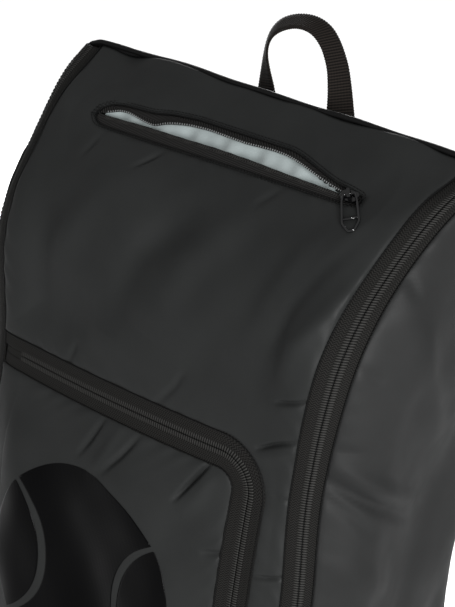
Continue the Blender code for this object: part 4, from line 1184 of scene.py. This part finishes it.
def cover_shell():
    """The pocket's cover in one piece with the hem that it folds on."""
    z = np.linspace(POCKET_LOW + COVER_INSET, POCKET_TOP - COVER_INSET, 320)[:, None]
    share = np.linspace(0, 1, 190)[None]
    arc = lerp(-zip_inner(z) - TUCKED, POCKET_RIGHT - COVER_INSET, share)
    x = skin_flat(arc, z)[..., 0]
    away = pocket_depth(x, z, TUCKED - POCKET_ZIP_HALF)
    points = skin(arc, z, cover_lift(x, z))
    shown = shown_cells(away, -HIDDEN_DEPTH)
    made = sheet("pocket_cover_shell", points, "shell", (arc, z + 0 * arc), shown)
    hinge = np.array(JOINTS["pocket_cover_hinge"]["pos_m"])
    put_between(made, ("bag", "pocket_cover"), hinge - HEM_BEFORE, hinge + HEM_AFTER, "shell",
                "front_pocket_cover", "front_pocket_hinge_strip")


TRAY_POINTS = 160
TRAY_CORNER = 0.022
TRAY_CLOTH = 0.0009


def tray_ring(centre, half, y):
    """Rounded rectangle at one depth of the tray."""
    (cx, cz), (a, b) = centre, half
    loop = rounded_loop(((-a, -b), (a, -b), (a, b), (-a, b)), min(TRAY_CORNER, a), 8)
    loop = np.concatenate([loop, loop[:1]])
    s = lengths(loop)
    even = np.linspace(0, s[-1], TRAY_POINTS, endpoint=False)
    x, z = (np.interp(even, s, column) for column in loop.T)
    return np.stack([cx + x, y + 0 * x, cz + z], -1)


def pocket_tray():
    """Soft liner of the front pocket, with rounded corners and a slack back."""
    low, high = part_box("front_pocket_liner")
    centre, half = box_span("front_pocket_liner")
    half = np.array(half)
    back = high.y - 0.0008
    steps = [(low.y, 0.0), (lerp(low.y, high.y, 0.35), 0.0004), (lerp(low.y, high.y, 0.7), 0.001),
             (high.y - 0.003, 0.003), (high.y - 0.001, 0.007), (back, 0.014)]
    steps += [(back, lerp(0.014, half[0] - 0.00005, share)) for share in np.linspace(0, 1, 16)[1:]]
    outer = [tray_ring(centre, half - inset, y) for y, inset in steps]
    inner = [tray_ring(centre, half - np.minimum(inset + TRAY_CLOTH, half[0] - 0.00002),
                       y - TRAY_CLOTH * (y - low.y) / (back - low.y)) for y, inset in steps]
    rings = np.array(inner[::-1] + outer)
    insets = np.array([inset for _, inset in steps])
    insets = np.concatenate([insets[::-1], insets])[:, None]
    slack = np.sin(rings[..., 0] * 70 + 1) * np.sin(rings[..., 2] * 45)
    rings[..., 1] -= 0.0012 * (1 + slack) * smooth((insets - 0.007) / 0.03)
    uv = (np.linspace(0, 1.4, TRAY_POINTS)[None], np.linspace(0, 0.28, len(rings))[:, None])
    made = tube("pocket_tray", rings, "pocket_lining", uv)
    put(made, "bag", "pocket_lining", "front_pocket_liner")


EMBLEM_CENTRE = (-0.022, 0.360)
EMBLEM_RADIUS = 0.088
SEAM_CENTRE = 1.15 * EMBLEM_RADIUS
SEAM_RADIUS = 0.75 * EMBLEM_RADIUS
SEAM_GAP = 0.007


def film_piece(name, low, high, rise, columns):
    """Part of the emblem between two edges, which are functions of the height from its middle."""
    up = np.sin(np.linspace(-1, 1, 90) * math.pi / 2)[:, None] * rise
    share = np.linspace(0, 1, columns)[None]
    across = lerp(low(up), high(up), share)
    x, z = EMBLEM_CENTRE[0] + across, EMBLEM_CENTRE[1] + up + 0 * across
    made = sheet(name, front_point(x, z, cover_lift(x, z) + 0.00035), "film", (x, z), thick=0.0003)
    put(made, "pocket_cover", "film", name.replace("film", "emblem"))


def emblem():
    """Plain glossy disc parted by two curved lines, as on a ball."""
    def edge(up):
        return np.sqrt(np.maximum(EMBLEM_RADIUS**2 - up**2, 0.0))

    def seam(up):
        inner = SEAM_CENTRE - np.sqrt(np.maximum(SEAM_RADIUS**2 - up**2, 0.0))
        return np.where(np.abs(up) < SEAM_RADIUS, inner, SEAM_CENTRE)

    def middle(up):
        return np.minimum(edge(up), seam(up) - SEAM_GAP / 2)

    meeting = (SEAM_CENTRE**2 + SEAM_RADIUS**2 - EMBLEM_RADIUS**2) / (2 * SEAM_CENTRE)
    side_rise = 0.965 * math.sqrt(SEAM_RADIUS**2 - meeting**2)
    film_piece("film_middle", lambda up: -middle(up), middle, 0.998 * EMBLEM_RADIUS, 70)
    film_piece("film_right", lambda up: seam(up) + SEAM_GAP / 2, edge, side_rise, 30)
    film_piece("film_left", lambda up: -edge(up), lambda up: -seam(up) - SEAM_GAP / 2, side_rise, 30)


# Pocket high on the front -------------------------------------------------------------------------

TOOTH_PITCH = 0.0020
TOOTH_LIFT = 0.0010
TOOTH_LENGTH = 0.00048
TOOTH_RADIUS = 0.00080
SLIT_SEAMS = (0.0010, 0.0030)
SLIT_STITCH_PITCH = 0.0030
SLIT_STITCH_RADIUS = 0.00030
# Radius of the dark cord that is painted shadow in the slit hem's groove
SLIT_GROOVE_SHADOW = 0.0005
LINING_THICK = 0.0005
LINING_WAVES = ((0.0009, 210, 0, 0.8), (0.0007, 118, 0, 2.0), (0.0004, 410, 0, 1.0))
POUCH_TOP = 0.668
POUCH_LIFT = -0.0125
POUCH_SWELL = 0.0062
# Rings of one tooth: place across the zip and girth, in shares of its radius
TOOTH_RINGS = ((-1.0, 0.05), (-0.75, 0.66), (0.0, 1.0), (0.75, 0.66), (1.0, 0.05))


def close_with_slider(piece):
    """Gives a piece a mesh of its own and returns it unchanged."""
    anchor = skin_flat(0.0, SLIT_Z)
    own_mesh(piece)
    return piece


def slit_band(name, low, high, lift, look, rows=7, columns=150, ends=(-0.1195, 0.1165), thick=TAPE_THICK):
    """Sheet between two edges of the slit, which are functions of the distance across the bag."""
    x = np.linspace(*ends, columns)[None]
    share = np.linspace(0, 1, rows)[:, None]
    rise = lerp(low(x), high(x), share)
    points = slit_point(x + 0 * rise, rise, lift(x, share))
    return sheet(name, points, look, (x + 0 * rise, rise), thick=thick)


def slit_opening():
    """Everything at the slit: its two tapes, teeth, lining and hem."""
    def upper_lift(x, share):
        curl = 0.0022 * smooth((lip_top(x) - 0.003) / 0.008)
        return -0.0004 + curl * (1 - share) ** 1.5 - 0.0007 * smooth((share - 0.8) / 0.2)

    def lower_lift(x, share):
        return -0.0009 + 0.0006 * smooth(share / 0.3) + 0.0002 * np.sin(x * 420) * share

    lower = slit_band("slit_tape_low", lambda x: hem_low(x) - 0.0005, lip_low, lower_lift, "lip_tape")
    put(lower, "bag", "tape", "top_zip_tape_lower")
    upper = slit_band("slit_tape_high", lambda x: lip_top(x) + 0.0004, lambda x: hem_top(x) + 0.0006,
                      upper_lift, "lip_tape")
    put(close_with_slider(upper), "bag", "tape", "top_zip_tape_upper")
    slit_teeth(upper_lift)
    slit_lower_coil()
    slit_lining()
    slit_pouch()
    slit_hem()


def slit_teeth(upper_lift):
    """Loose teeth of the open upper edge, as small barrels that stand across it."""
    dense = np.linspace(-0.112, 0.110, 500)
    edge = slit_point(dense, lip_top(dense) + 0.0001, upper_lift(dense, 0.0) + TOOTH_LIFT)
    _, centres, x = resample(edge, TOOTH_PITCH, dense)
    x = x[:, 0]
    normals = outward(x, slit_z(lip_top(x)))
    along = tangents(centres)
    across = unit(np.cross(normals, along))
    centres, along, across, normals = (found[:, None, None] for found in (centres, along, across, normals))
    shift, girth = np.array(TOOTH_RINGS).T[..., None, None]
    cos, sin = round_shape(1.0, 6).T[..., None]
    ring = along * cos * TOOTH_LENGTH + normals * sin * TOOTH_RADIUS
    rings = centres + ring * girth + across * shift * TOOTH_RADIUS
    teeth = small_bodies("slit_teeth_high", rings, "teeth")
    put(close_with_slider(teeth), "bag", "coil", "top_zip_coil_upper")


def slit_lower_coil():
    dense = np.linspace(-0.112, 0.112, 500)
    path = slit_point(dense, lip_low(dense) - 0.0004, -0.0004 + 0 * dense)
    _, _, fine = resample(path, COIL_PITCH / RIB_SAMPLES, dense)

    def place(d, lift):
        return slit_point(fine + 0 * d, lip_low(fine) - d + 0.0004, lift - 0.0004)

    coil = ribbed_coil("slit_coil_low", place, len(fine), flip=True)
    put(coil, "bag", "coil", "top_zip_coil_lower")


def slit_lining():
    """Silvery sheet seen through the slit, and a dark layer behind it."""
    def depth(x, share):
        wrinkles = waves(x + share * 0.006, 0.0, LINING_WAVES)
        sag = np.sin(math.pi * np.clip(share, 0, 1)) ** 0.7
        return -0.0020 - 0.0022 * np.sin(math.pi * share) + wrinkles * sag

    def backing_depth(x, share):
        return -0.0058 + 0.0022 * np.abs(2 * share - 1) ** 3 + 0 * x

    shown = slit_band("slit_lining", lambda x: lip_low(x) - 0.0015, lambda x: lip_top(x) + 0.0035, depth,
                      "lining", 14, 200, (-0.1165, 0.1120), LINING_THICK)
    put(close_with_slider(shown), "bag", "lining")
    behind = slit_band("slit_backing", lambda x: hem_low(x) - 0.002, lambda x: hem_top(x) + 0.003,
                       backing_depth, "shell", 10, 90, (-0.1215, 0.1185), LINING_THICK)
    put(behind, "bag", "shell")


def slit_pouch():
    """Flat pouch of lining that hangs below the slit."""
    low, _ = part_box("top_pocket_liner")
    (middle, _), (half, _) = box_span("top_pocket_liner")
    z = np.linspace(low.z + 0.002, POUCH_TOP, 24)[:, None]
    a, b = (pairs[None] for pairs in superellipse(60, 0.5, 0.7))
    swell = np.sin(math.pi * np.clip((z - low.z) / (HEIGHT - low.z), 0, 1)) ** 0.5
    x = middle + (half - 0.002) * a
    lift = POUCH_LIFT + 0.0005 * np.sin(x * 90) + POUCH_SWELL * swell * b
    rings = skin(x + 0 * z, z + 0 * x, lift)[:, ::-1]
    put(tube("top_pocket_pouch", rings, "lining"), "bag", "lining", "top_pocket_liner")


def slit_hem():
    """Painted shadow of the hem's groove, as a dark cord, and two rows of stitches round the slit."""
    x = np.linspace(-0.1203, 0.1172, 240)
    low = slit_point(x, hem_low(x) + 0.0002, 0.0001 + 0 * x)
    high = slit_point(x[::-1], hem_top(x[::-1]) - 0.0002, 0.0001 + 0 * x)
    path = np.concatenate([low, high])
    arcs = np.concatenate([x, x[::-1]])
    rises = np.concatenate([hem_low(x), hem_top(x[::-1])])
    normals = outward(arcs, slit_z(rises))
    # Dark cord round the slit: painted shadow of the hem's groove.
    groove = cord("slit_groove", path, normals, SLIT_GROOVE_SHADOW, "thread", closed=True)
    put(groove, "bag", "tape")
    lines = []
    for shift in SLIT_SEAMS:
        away = unit(np.cross(tangents(path, True), normals)) * shift
        loop = path + away + normals * 0.0011
        loop = np.concatenate([loop, loop[:1]])
        lines.append((loop, np.concatenate([normals, normals[:1]])))
    put(stitches("slit_stitches", lines, SLIT_STITCH_PITCH, SLIT_STITCH_RADIUS), "bag", "shell")


# Hardware -----------------------------------------------------------------------------------------

def keep_node(name, look, bevel):
    """A CAD node that stays, with rounded edges and a finished look."""
    node = frame["nodes"][name]
    node.data.materials.clear()
    node.data.materials.append(LOOKS[look])
    if bevel:
        step = node.modifiers.new("edges", "BEVEL")
        step.width = bevel
        step.segments = 2
        step.limit_method = "ANGLE"
        step.angle_limit = math.radians(35)
        step.harden_normals = True


PULL_OUTLINE = ((-0.0041, 0.0), (0.0041, 0.0), (0.0052, 0.0071), (0.0058, 0.0261), (0.0022, 0.0335),
                (-0.0022, 0.0335), (-0.0058, 0.0261), (-0.0052, 0.0071))
PULL_SECTION = ((1.0, 0.0), (0.7, 0.7), (0.0, 0.95), (-0.7, 0.7), (-1.0, 0.0), (-0.7, -0.7), (0.0, -0.95),
                (0.7, -0.7))
PULL_BAR = ((-0.0057, 0.0225), (0.0, 0.0225), (0.0057, 0.0225))
PULL_CORNER = 0.0016
PULL_RADIUS = 0.00088


def wire(path, normal, closed):
    """Bent wire with eight sides along a path in one plane."""
    normals = np.tile(normal, (len(path), 1))
    along = tangents(path, closed)
    shape = np.array(PULL_SECTION) * PULL_RADIUS
    rings = section_rings(path, np.cross(along, normals), normals, shape)
    return tube("wire", rings, "hardware", closed=closed)


def puller(name, joint, normal):
    """Rounded wire loop with a cross bar, hung from its slider."""
    origin = np.array(JOINTS[joint]["pos_m"])
    pin = unit(np.array(JOINTS[joint]["axis"], float))
    hang = unit(np.cross(normal, pin))

    def place(pairs):
        pairs = np.asarray(pairs, float)
        return origin + pin * pairs[:, :1] + hang * pairs[:, 1:]

    outline = rounded_loop(PULL_OUTLINE, PULL_CORNER)
    parts = [wire(place(outline), normal, True), wire(place(PULL_BAR), normal, False)]
    put(join(f"{name}_wire", parts), name, "hardware", name)


def hardware():
    for name in ("top_slider", "pocket_slider", "main_slider_left", "main_slider_right"):
        keep_node(name, "hardware", 0.0004)
    puller("top_puller", "top_puller_hinge", SLOPE_NORMAL)
    for side in (-1, 1):
        name = f"main_puller_{side_name(side)}"
        z = JOINTS[name + "_hinge"]["pos_m"][2]
        puller(name, name + "_hinge", outward(side * zip_middle(z), np.array(z)))
    puller("pocket_puller", "pocket_puller_hinge", np.array((0.0, -1.0, 0.0)))


# Carrying parts -----------------------------------------------------------------------------------

WEBBING = 0.025
WEB_DEPTH = 0.0019
# Shares by which the webbing is narrower and thinner between its ribs
WEFT_IN = 0.022
WEFT_DIP = 0.30
WEB_EDGE = ((-0.5, 0.2), (-0.48, 0.5), (-0.25, 0.5), (0.0, 0.5), (0.25, 0.5), (0.48, 0.5), (0.5, 0.2))
WEB_SHAPE = np.concatenate([WEB_EDGE, -np.array(WEB_EDGE)])

# Haul loop: places of its middle line, and how far it has turned from flat, in quarter turns
LOOP_LINE = ((-0.0335, 0.6825, 0.0), (-0.0343, 0.6970, 0.10), (-0.0365, 0.7110, 0.22),
             (-0.0400, 0.7260, 0.42), (-0.0420, 0.7367, 0.53), (-0.0424, 0.7435, 0.575),
             (-0.0410, 0.7525, 0.60), (-0.0355, 0.7605, 0.63), (-0.0253, 0.7665, 0.70),
             (-0.0131, 0.7700, 0.78), (-0.0030, 0.7698, 0.84), (0.0066, 0.7665, 0.90),
             (0.0158, 0.7575, 0.95), (0.0238, 0.7435, 0.92), (0.0285, 0.7270, 0.84),
             (0.0318, 0.7110, 0.72), (0.0332, 0.6970, 0.35), (0.0335, 0.6825, 0.0))
LOOP_WIDTH = 0.0235
LOOP_HALF = 0.0335
TAB_Z = (0.683, 0.650)
TAB_LIFT = 0.0016
TAB_THICK = 0.0015
TAB_SEAM = (0.009, 0.010)
LOOP_Y = 0.040


def web_strip(name, path, wide, thick, width=WEBBING):
    """Webbing with its ribs of weft standing out across it."""
    s, path, wide, thick = resample(path, WEFT / 4, wide, thick)
    wide, thick = unit(wide), unit(thick)
    shape = WEB_SHAPE * np.array((width, WEB_DEPTH))
    rib = (1 - np.cos(2 * math.pi * s / WEFT))[:, None] / 2
    rings = section_rings(path, wide * (1 - WEFT_IN * rib), thick * (1 - WEFT_DIP * rib), shape)
    return tube(name, rings, "webbing", (s[:, None], lengths(shape)[None]))


def smooth_line(points, count):
    """A smooth curve through rows of values, spaced by its length in the first two."""
    points = np.array(points, float)
    s = lengths(points[:, :2])
    even = np.linspace(0, s[-1], count)
    rough = np.stack([np.interp(even, s, column) for column in points.T], -1)
    reach = 9
    weights = np.exp(-(np.arange(-reach, reach + 1) / 4.0) ** 2)
    padded = np.pad(rough, ((reach, reach), (0, 0)), mode="reflect", reflect_type="odd")
    return np.stack([np.convolve(column, weights / weights.sum(), mode="valid") for column in padded.T], -1)


def haul_loop():
    """Loop of webbing over the ridge, and the two tabs that hold it."""
    line = smooth_line(LOOP_LINE, 140)
    path = np.stack([line[:, 0], LOOP_Y + 0 * line[:, 0], line[:, 1]], -1)
    along = tangents(path)
    depth = np.array((0.0, 1.0, 0.0))
    flat = unit(np.cross(depth, along))
    turn = line[:, 2:] * math.pi / 2
    wide = flat * np.cos(turn) - depth * np.sin(turn)
    thick = np.cross(along, wide)
    put(web_strip("haul_loop_webbing", path, wide, thick, LOOP_WIDTH), "haul_loop", "webbing", "haul_loop")
    for side in (-1, 1):
        z = np.linspace(*TAB_Z, 12)[:, None]
        across = side * LOOP_HALF + np.linspace(-0.5, 0.5, 8)[None] * WEBBING
        arc = half_round(z) - across
        points = skin(arc, z, TAB_LIFT + 0 * arc)
        uv = (z + 0 * arc, across + 0 * z)
        tab = sheet(f"haul_tab_{side_name(side)}", points, "webbing", uv, thick=TAB_THICK)
        put(tab, "bag", "webbing")
        box = rear_outline((side * LOOP_HALF, 0.667), TAB_SEAM, 0.001, 0.0022)
        put(stitches(f"haul_tab_stitches_{side_name(side)}", [box]), "bag", "webbing")


def rear_outline(middle, half, radius, lift):
    """Closed line on the rear panel round a rounded rectangle, with its normals."""
    corners = np.array(middle) + np.array(((-1, -1), (1, -1), (1, 1), (-1, 1))) * half
    loop = rounded_loop(corners, radius, 5)
    _, loop = resample(np.concatenate([loop, loop[:1]]), 0.004)
    arc = half_round(loop[:, 1]) - loop[:, 0]
    return skin(arc, loop[:, 1], lift + 0 * arc), outward(arc, loop[:, 1])


PATCH_RISE = 0.0024
PATCH_SEAM = 0.005


def rear_patch(name, node):
    """Stitched patch in place of a CAD node on the rear panel, with rounded corners and a thicker middle."""
    (x, z), (half_x, half_z) = box_span(node)
    u = np.sin(np.linspace(-1, 1, 44) * math.pi / 2)
    across, up = u[None] * half_x, u[:, None] * half_z
    corner = min(half_x, half_z) * 0.35
    over_x, over_z = np.abs(across) - half_x + corner, np.abs(up) - half_z + corner
    past = np.hypot(np.maximum(over_x, 0), np.maximum(over_z, 0))
    pull = np.where((over_x > 0) & (over_z > 0) & (past > corner), corner / np.maximum(past, 1e-9), 1.0)
    across, up = (np.where(pull < 1, np.sign(place) * (half - corner + over * pull), place + 0 * pull)
                  for place, half, over in ((across, half_x, over_x), (up, half_z, over_z)))
    depth = np.minimum(half_x - np.abs(across), half_z - np.abs(up))
    height = 0.0004 + PATCH_RISE * smooth(depth / 0.004)
    across, up = x + across, z + up
    points = skin(half_round(up) - across, up, height)[:, ::-1]
    uv = (across[:, ::-1], up[:, ::-1])
    put(sheet(name, points, "base_fabric", uv, thick=0.0008), "bag", "base_fabric", node)
    box = rear_outline((x, z), (half_x - PATCH_SEAM, half_z - PATCH_SEAM), 0.006, PATCH_RISE + 0.0006)
    put(stitches(f"{name}_stitches", [box]), "bag", "base_fabric")


PAD_X = (0.016, 0.112)
PAD_Z = (0.100, 0.545)
PAD_CORNER = 0.030
PAD_RISE = 0.0145
PAD_ROUNDING = 0.028
PAD_CHANNELS = (0.36, 0.68)
CHANNEL_HALF = 0.005
CHANNEL_DEPTH = 0.62
PAD_PIPING = 0.0018


def back_pad(side):
    """Crowned pad of spacer mesh with two sewn channels."""
    name = f"back_pad_{side_name(side)}"
    u, v = (np.sin(np.linspace(-1, 1, count) * math.pi / 2) * 0.5 + 0.5 for count in (60, 170))
    x, z = np.meshgrid(lerp(*PAD_X, u), lerp(*PAD_Z, v))
    depth_x, depth_z = (np.minimum(place - ends[0], ends[1] - place)
                        for place, ends in ((x, PAD_X), (z, PAD_Z)))
    near = np.hypot(np.maximum(PAD_CORNER - depth_x, 0), np.maximum(PAD_CORNER - depth_z, 0))
    depth = PAD_CORNER - near
    dome = np.sqrt(np.clip(depth / PAD_ROUNDING, 0, 1))
    channel = sum(np.exp(-((z - lerp(*PAD_Z, share)) / CHANNEL_HALF) ** 2) for share in PAD_CHANNELS)
    height = 0.0006 + PAD_RISE * dome * (1 - CHANNEL_DEPTH * channel)
    height = height + 0.0006 * np.sin(x * 160) * np.sin(z * 95) * dome
    points = skin(half_round(z) - side * x, z, height)[:, ::-side]
    uv = (x[:, ::-side], z)
    shown = shown_cells(depth, -0.0005)[:, ::-side]
    pad = sheet(f"{name}_mesh", points, "padding", uv, shown, thick=0.0008)
    put(pad, "bag", "padding", name)
    (inner, outer), (low, high) = PAD_X, PAD_Z
    middle = (side * (inner + outer) / 2, (low + high) / 2)
    half = ((outer - inner) / 2 - 0.0002, (high - low) / 2 - 0.0002)
    path, normals = (found[:-1] for found in rear_outline(middle, half, PAD_CORNER, 0.0012))
    binding = cord(f"{name}_binding", path, normals, PAD_PIPING, "piping", closed=True, count=8)
    put(binding, "bag", "padding")


# Guide points of the right strap's curve, below its hinge
STRAP_CURVE = ((0.052, 0.172, 0.575), (0.080, 0.205, 0.420), (0.112, 0.160, 0.262))
STRAP_HALF = 0.031
STRAP_LOW_HALF = 0.022
STRAP_THICK = 0.011
STRAP_PIPING = 0.0017
STRAP_SEAM = 0.0095
BEND_AT = 14  # the point of the strap's line where it has left the bag's body
BUCKLE_BELOW = 0.0185
LINK_PLACES = (0.024, 0.018, 0.009, 0.004)
ANCHOR_X = 0.128
ANCHOR_LIFT = 0.0046


def strap_line(side, count):
    """A strap's middle line: shares of it, its points, and directions along, across and off the back."""
    top = np.array(JOINTS[f"strap_{side_name(side)}_hinge"]["pos_m"])
    curve = [top] + [np.array(place) * (side, 1, 1) for place in STRAP_CURVE]
    share = np.linspace(0, 1, count)
    path = bezier(curve, share)
    along = tangents(path)
    across = np.cross((0.0, 1.0, 0.0), along)
    across[:, 1] = 0.0
    across = unit(across)
    thick = unit(np.cross(along, across))
    thick = thick * np.sign(thick[:, 1:2] + 1e-9)
    return share, path, along, across, thick


def shoulder_strap(side):
    """Padded strap with bound edges and webbing sewn down its face."""
    name = side_name(side)
    share, path, along, across, thick = strap_line(side, 90)
    half = lerp(STRAP_HALF, STRAP_LOW_HALF, smooth(share))[:, None]
    ends = np.sqrt(np.clip(np.minimum(share / 0.05, (1 - share) / 0.05), 0.12, 1))[:, None]
    a, b = (pairs[None] for pairs in superellipse(28, 0.55, 0.75))
    ripple = 1 + 0.04 * np.sin(share * 60)[:, None]
    rings = path[:, None] + across[:, None] * (a * half)[..., None]
    rings = rings + thick[:, None] * (b * STRAP_THICK / 2 * ends * ripple)[..., None]
    if np.dot(np.cross(across[0], thick[0]), along[0]) < 0:
        rings = rings[:, ::-1]
    uv = (lengths(path)[:, None], np.linspace(0, 0.15, rings.shape[1])[None])
    pad = tube(f"strap_pad_{name}", rings, "padding", uv)
    edges = [cord("edge", path + across * half * sign, thick, STRAP_PIPING, "piping", count=8)
             for sign in (-1, 1)]
    face = path + thick * (STRAP_THICK / 2 * ends + 0.0012)
    web = web_strip(f"strap_face_webbing_{name}", face[3:], across[3:], thick[3:])
    sewn = slice(4, -3)
    lines = [(face[sewn] + across[sewn] * shift + thick[sewn] * 0.0013, thick[sewn])
             for shift in (-STRAP_SEAM, STRAP_SEAM)]
    bodies = ("bag", f"strap_{name}")
    put_between(pad, bodies, path[0], path[BEND_AT], "padding", f"shoulder_strap_{name}")
    put_between(join(f"strap_binding_{name}", edges), bodies, path[0], path[BEND_AT], "padding")
    put_between(web, bodies, path[0], path[BEND_AT], "webbing")
    seam = stitches(f"strap_stitches_{name}", lines)
    put_between(seam, bodies, path[0], path[BEND_AT], "webbing")


def lower_webbing(side):
    """Webbing from the buckle to its tab above the base, and the short piece above the buckle."""
    name = side_name(side)
    _, path, along, across, thick = strap_line(side, 15)
    tip, along, across, thick = path[-1], along[-1], across[-1], thick[-1]
    buckle = tip + along * BUCKLE_BELOW
    low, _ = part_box(f"strap_webbing_{name}")
    end_z = low.z + 0.0003
    end = np.array((side * ANCHOR_X, rear_y(end_z) + ANCHOR_LIFT, end_z))
    start = buckle + along * 0.0075
    share = np.linspace(0, 1, 50)
    line = bezier((start, start + along * 0.05, end + np.array((0, 0.030, 0.075)), end), share)
    wide = unit(lerp(across, unit(across * (1, 0, 0)), share[:, None]))
    web = web_strip(f"strap_low_webbing_{name}", line, wide, np.cross(tangents(line), wide))
    put_between(web, (f"strap_{name}", "bag"), start, end, "webbing", f"strap_webbing_{name}")
    upper = smooth_line([buckle - along * above for above in LINK_PLACES], 20)
    normals = np.tile(thick, (20, 1))
    link = web_strip(f"strap_link_{name}", upper + normals * 0.0004, np.tile(across, (20, 1)), normals)
    put(link, f"strap_{name}", "webbing")


def carrying():
    haul_loop()
    rear_patch("yoke_patch", "strap_yoke")
    for side in (-1, 1):
        name = side_name(side)
        shoulder_strap(side)
        lower_webbing(side)
        keep_node(f"strap_buckle_{name}", "buckle", 0.0006)
        rear_patch(f"anchor_patch_{name}", f"strap_anchor_{name}")
        back_pad(side)


# Stage --------------------------------------------------------------------------------------------

CAMERA_PLACE = (0.689, -0.989, 1.001)
CAMERA_YAW, CAMERA_PITCH, CAMERA_ROLL = (math.radians(angle) for angle in (35.5, 20.2, 8.0))
FOCAL_PIXELS = 1700.0
FRAME_WIDTH = 455.0
SKY = 0.38
KEY = 46.0
REAR_FILL = 58.0
SPARKLE = 40.0
WASH = 2.4
AIM = (0.05, -0.02, 0.45)
FLOOR_HALF = 30.0
FLOOR_Z = -0.0005
FLOOR_SEEN = (0.93, 0.93, 0.93)
FLOOR_BOUNCE = (0.42, 0.42, 0.42)


def add_camera():
    right = Vector((math.cos(CAMERA_YAW), math.sin(CAMERA_YAW), 0.0))
    level = math.cos(CAMERA_PITCH)
    back = Vector((math.sin(CAMERA_YAW) * level, -math.cos(CAMERA_YAW) * level, math.sin(CAMERA_PITCH)))
    up = back.cross(right)
    x_axis = right * math.cos(CAMERA_ROLL) + up * math.sin(CAMERA_ROLL)
    y_axis = up * math.cos(CAMERA_ROLL) - right * math.sin(CAMERA_ROLL)
    data = bpy.data.cameras.new("view")
    data.sensor_fit = "HORIZONTAL"
    data.sensor_width = 36.0
    data.lens = FOCAL_PIXELS * data.sensor_width / FRAME_WIDTH
    data.clip_end = 100.0
    camera = bpy.data.objects.new("view", data)
    turned = Matrix((x_axis, y_axis, back)).transposed().to_4x4()
    camera.matrix_world = Matrix.Translation(CAMERA_PLACE) @ turned
    bpy.context.scene.collection.objects.link(camera)
    bpy.context.scene.camera = camera


def add_light(name, kind, place, aim, size, power):
    data = bpy.data.lights.new(name, kind)
    if kind == "AREA":
        data.shape = "DISK"
        data.size = size
    else:
        data.angle = size
    data.energy = power
    light = bpy.data.objects.new(name, data)
    light.location = place
    light.rotation_euler = (Vector(aim) - Vector(place)).to_track_quat("-Z", "Y").to_euler()
    bpy.context.scene.collection.objects.link(light)
    return light


def light_only(light, objects):
    """Keeps a light to some objects, and off the rest."""
    lit = bpy.data.collections.new("lit_by_" + light.name)
    for obj in objects:
        lit.objects.link(obj)
    light.light_linking.receiver_collection = lit


def add_stage():
    floor_look = Look("pale_floor", FLOOR_SEEN, 0.9, Specular_IOR_Level=0.1)
    seen = floor_look.node("LightPath").outputs["Is Camera Ray"]
    floor_look.set("Base Color", floor_look.mix(seen, FLOOR_BOUNCE, FLOOR_SEEN))
    corners = ((-1, -1), (1, -1), (1, 1), (-1, 1))
    points = np.array([(x * FLOOR_HALF, y * FLOOR_HALF, FLOOR_Z) for x, y in corners])
    LOOKS["floor"] = floor_look.material
    floor = make_object("floor", points, [(0, 1, 2, 3)], "floor")
    world = bpy.data.worlds.new("studio")
    world.use_nodes = True
    nodes, links = world.node_tree.nodes, world.node_tree.links
    brightness = nodes.new("ShaderNodeMapRange")
    links.new(nodes.new("ShaderNodeLightPath").outputs["Is Camera Ray"], brightness.inputs[0])
    brightness.inputs[3].default_value = SKY
    brightness.inputs[4].default_value = 1.0
    background = nodes["Background"]
    background.inputs[0].default_value = (1.0, 1.0, 1.0, 1.0)
    links.new(brightness.outputs[0], background.inputs[1])
    scene = bpy.context.scene
    scene.world = world
    scene.view_settings.view_transform = "Standard"
    add_light("key", "AREA", (1.7, -1.3, 0.9), AIM, 0.9, KEY)
    glint = add_light("sparkle", "AREA", (0.5, -1.3, 2.2), (0.1, -0.05, 0.68), 0.3, SPARKLE)
    add_light("rear_fill", "AREA", (-1.3, 1.9, 0.9), AIM, 1.4, REAR_FILL)
    # Keeps the floor white behind the dark cloth
    wash = add_light("floor_wash", "SUN", (0.0, 0.0, 4.0), (0.0, 0.0, 0.0), math.radians(50), WASH)
    light_only(wash, [floor])
    light_only(glint, [obj for obj in scene.objects if obj.name.endswith("_wire")])


def build():
    front_shell()
    rear_shell()
    base_band()
    top_seam()
    for side in (-1, 1):
        side_shell(side)
        main_zip(side)
    pocket_zip()
    cover_shell()
    pocket_tray()
    emblem()
    slit_opening()
    hardware()
    carrying()
    keep_node("base_board", "board", 0.0)
    keep_node("rear_frame_sheet", "board", 0.0)
    add_stage()
    add_camera()


build()
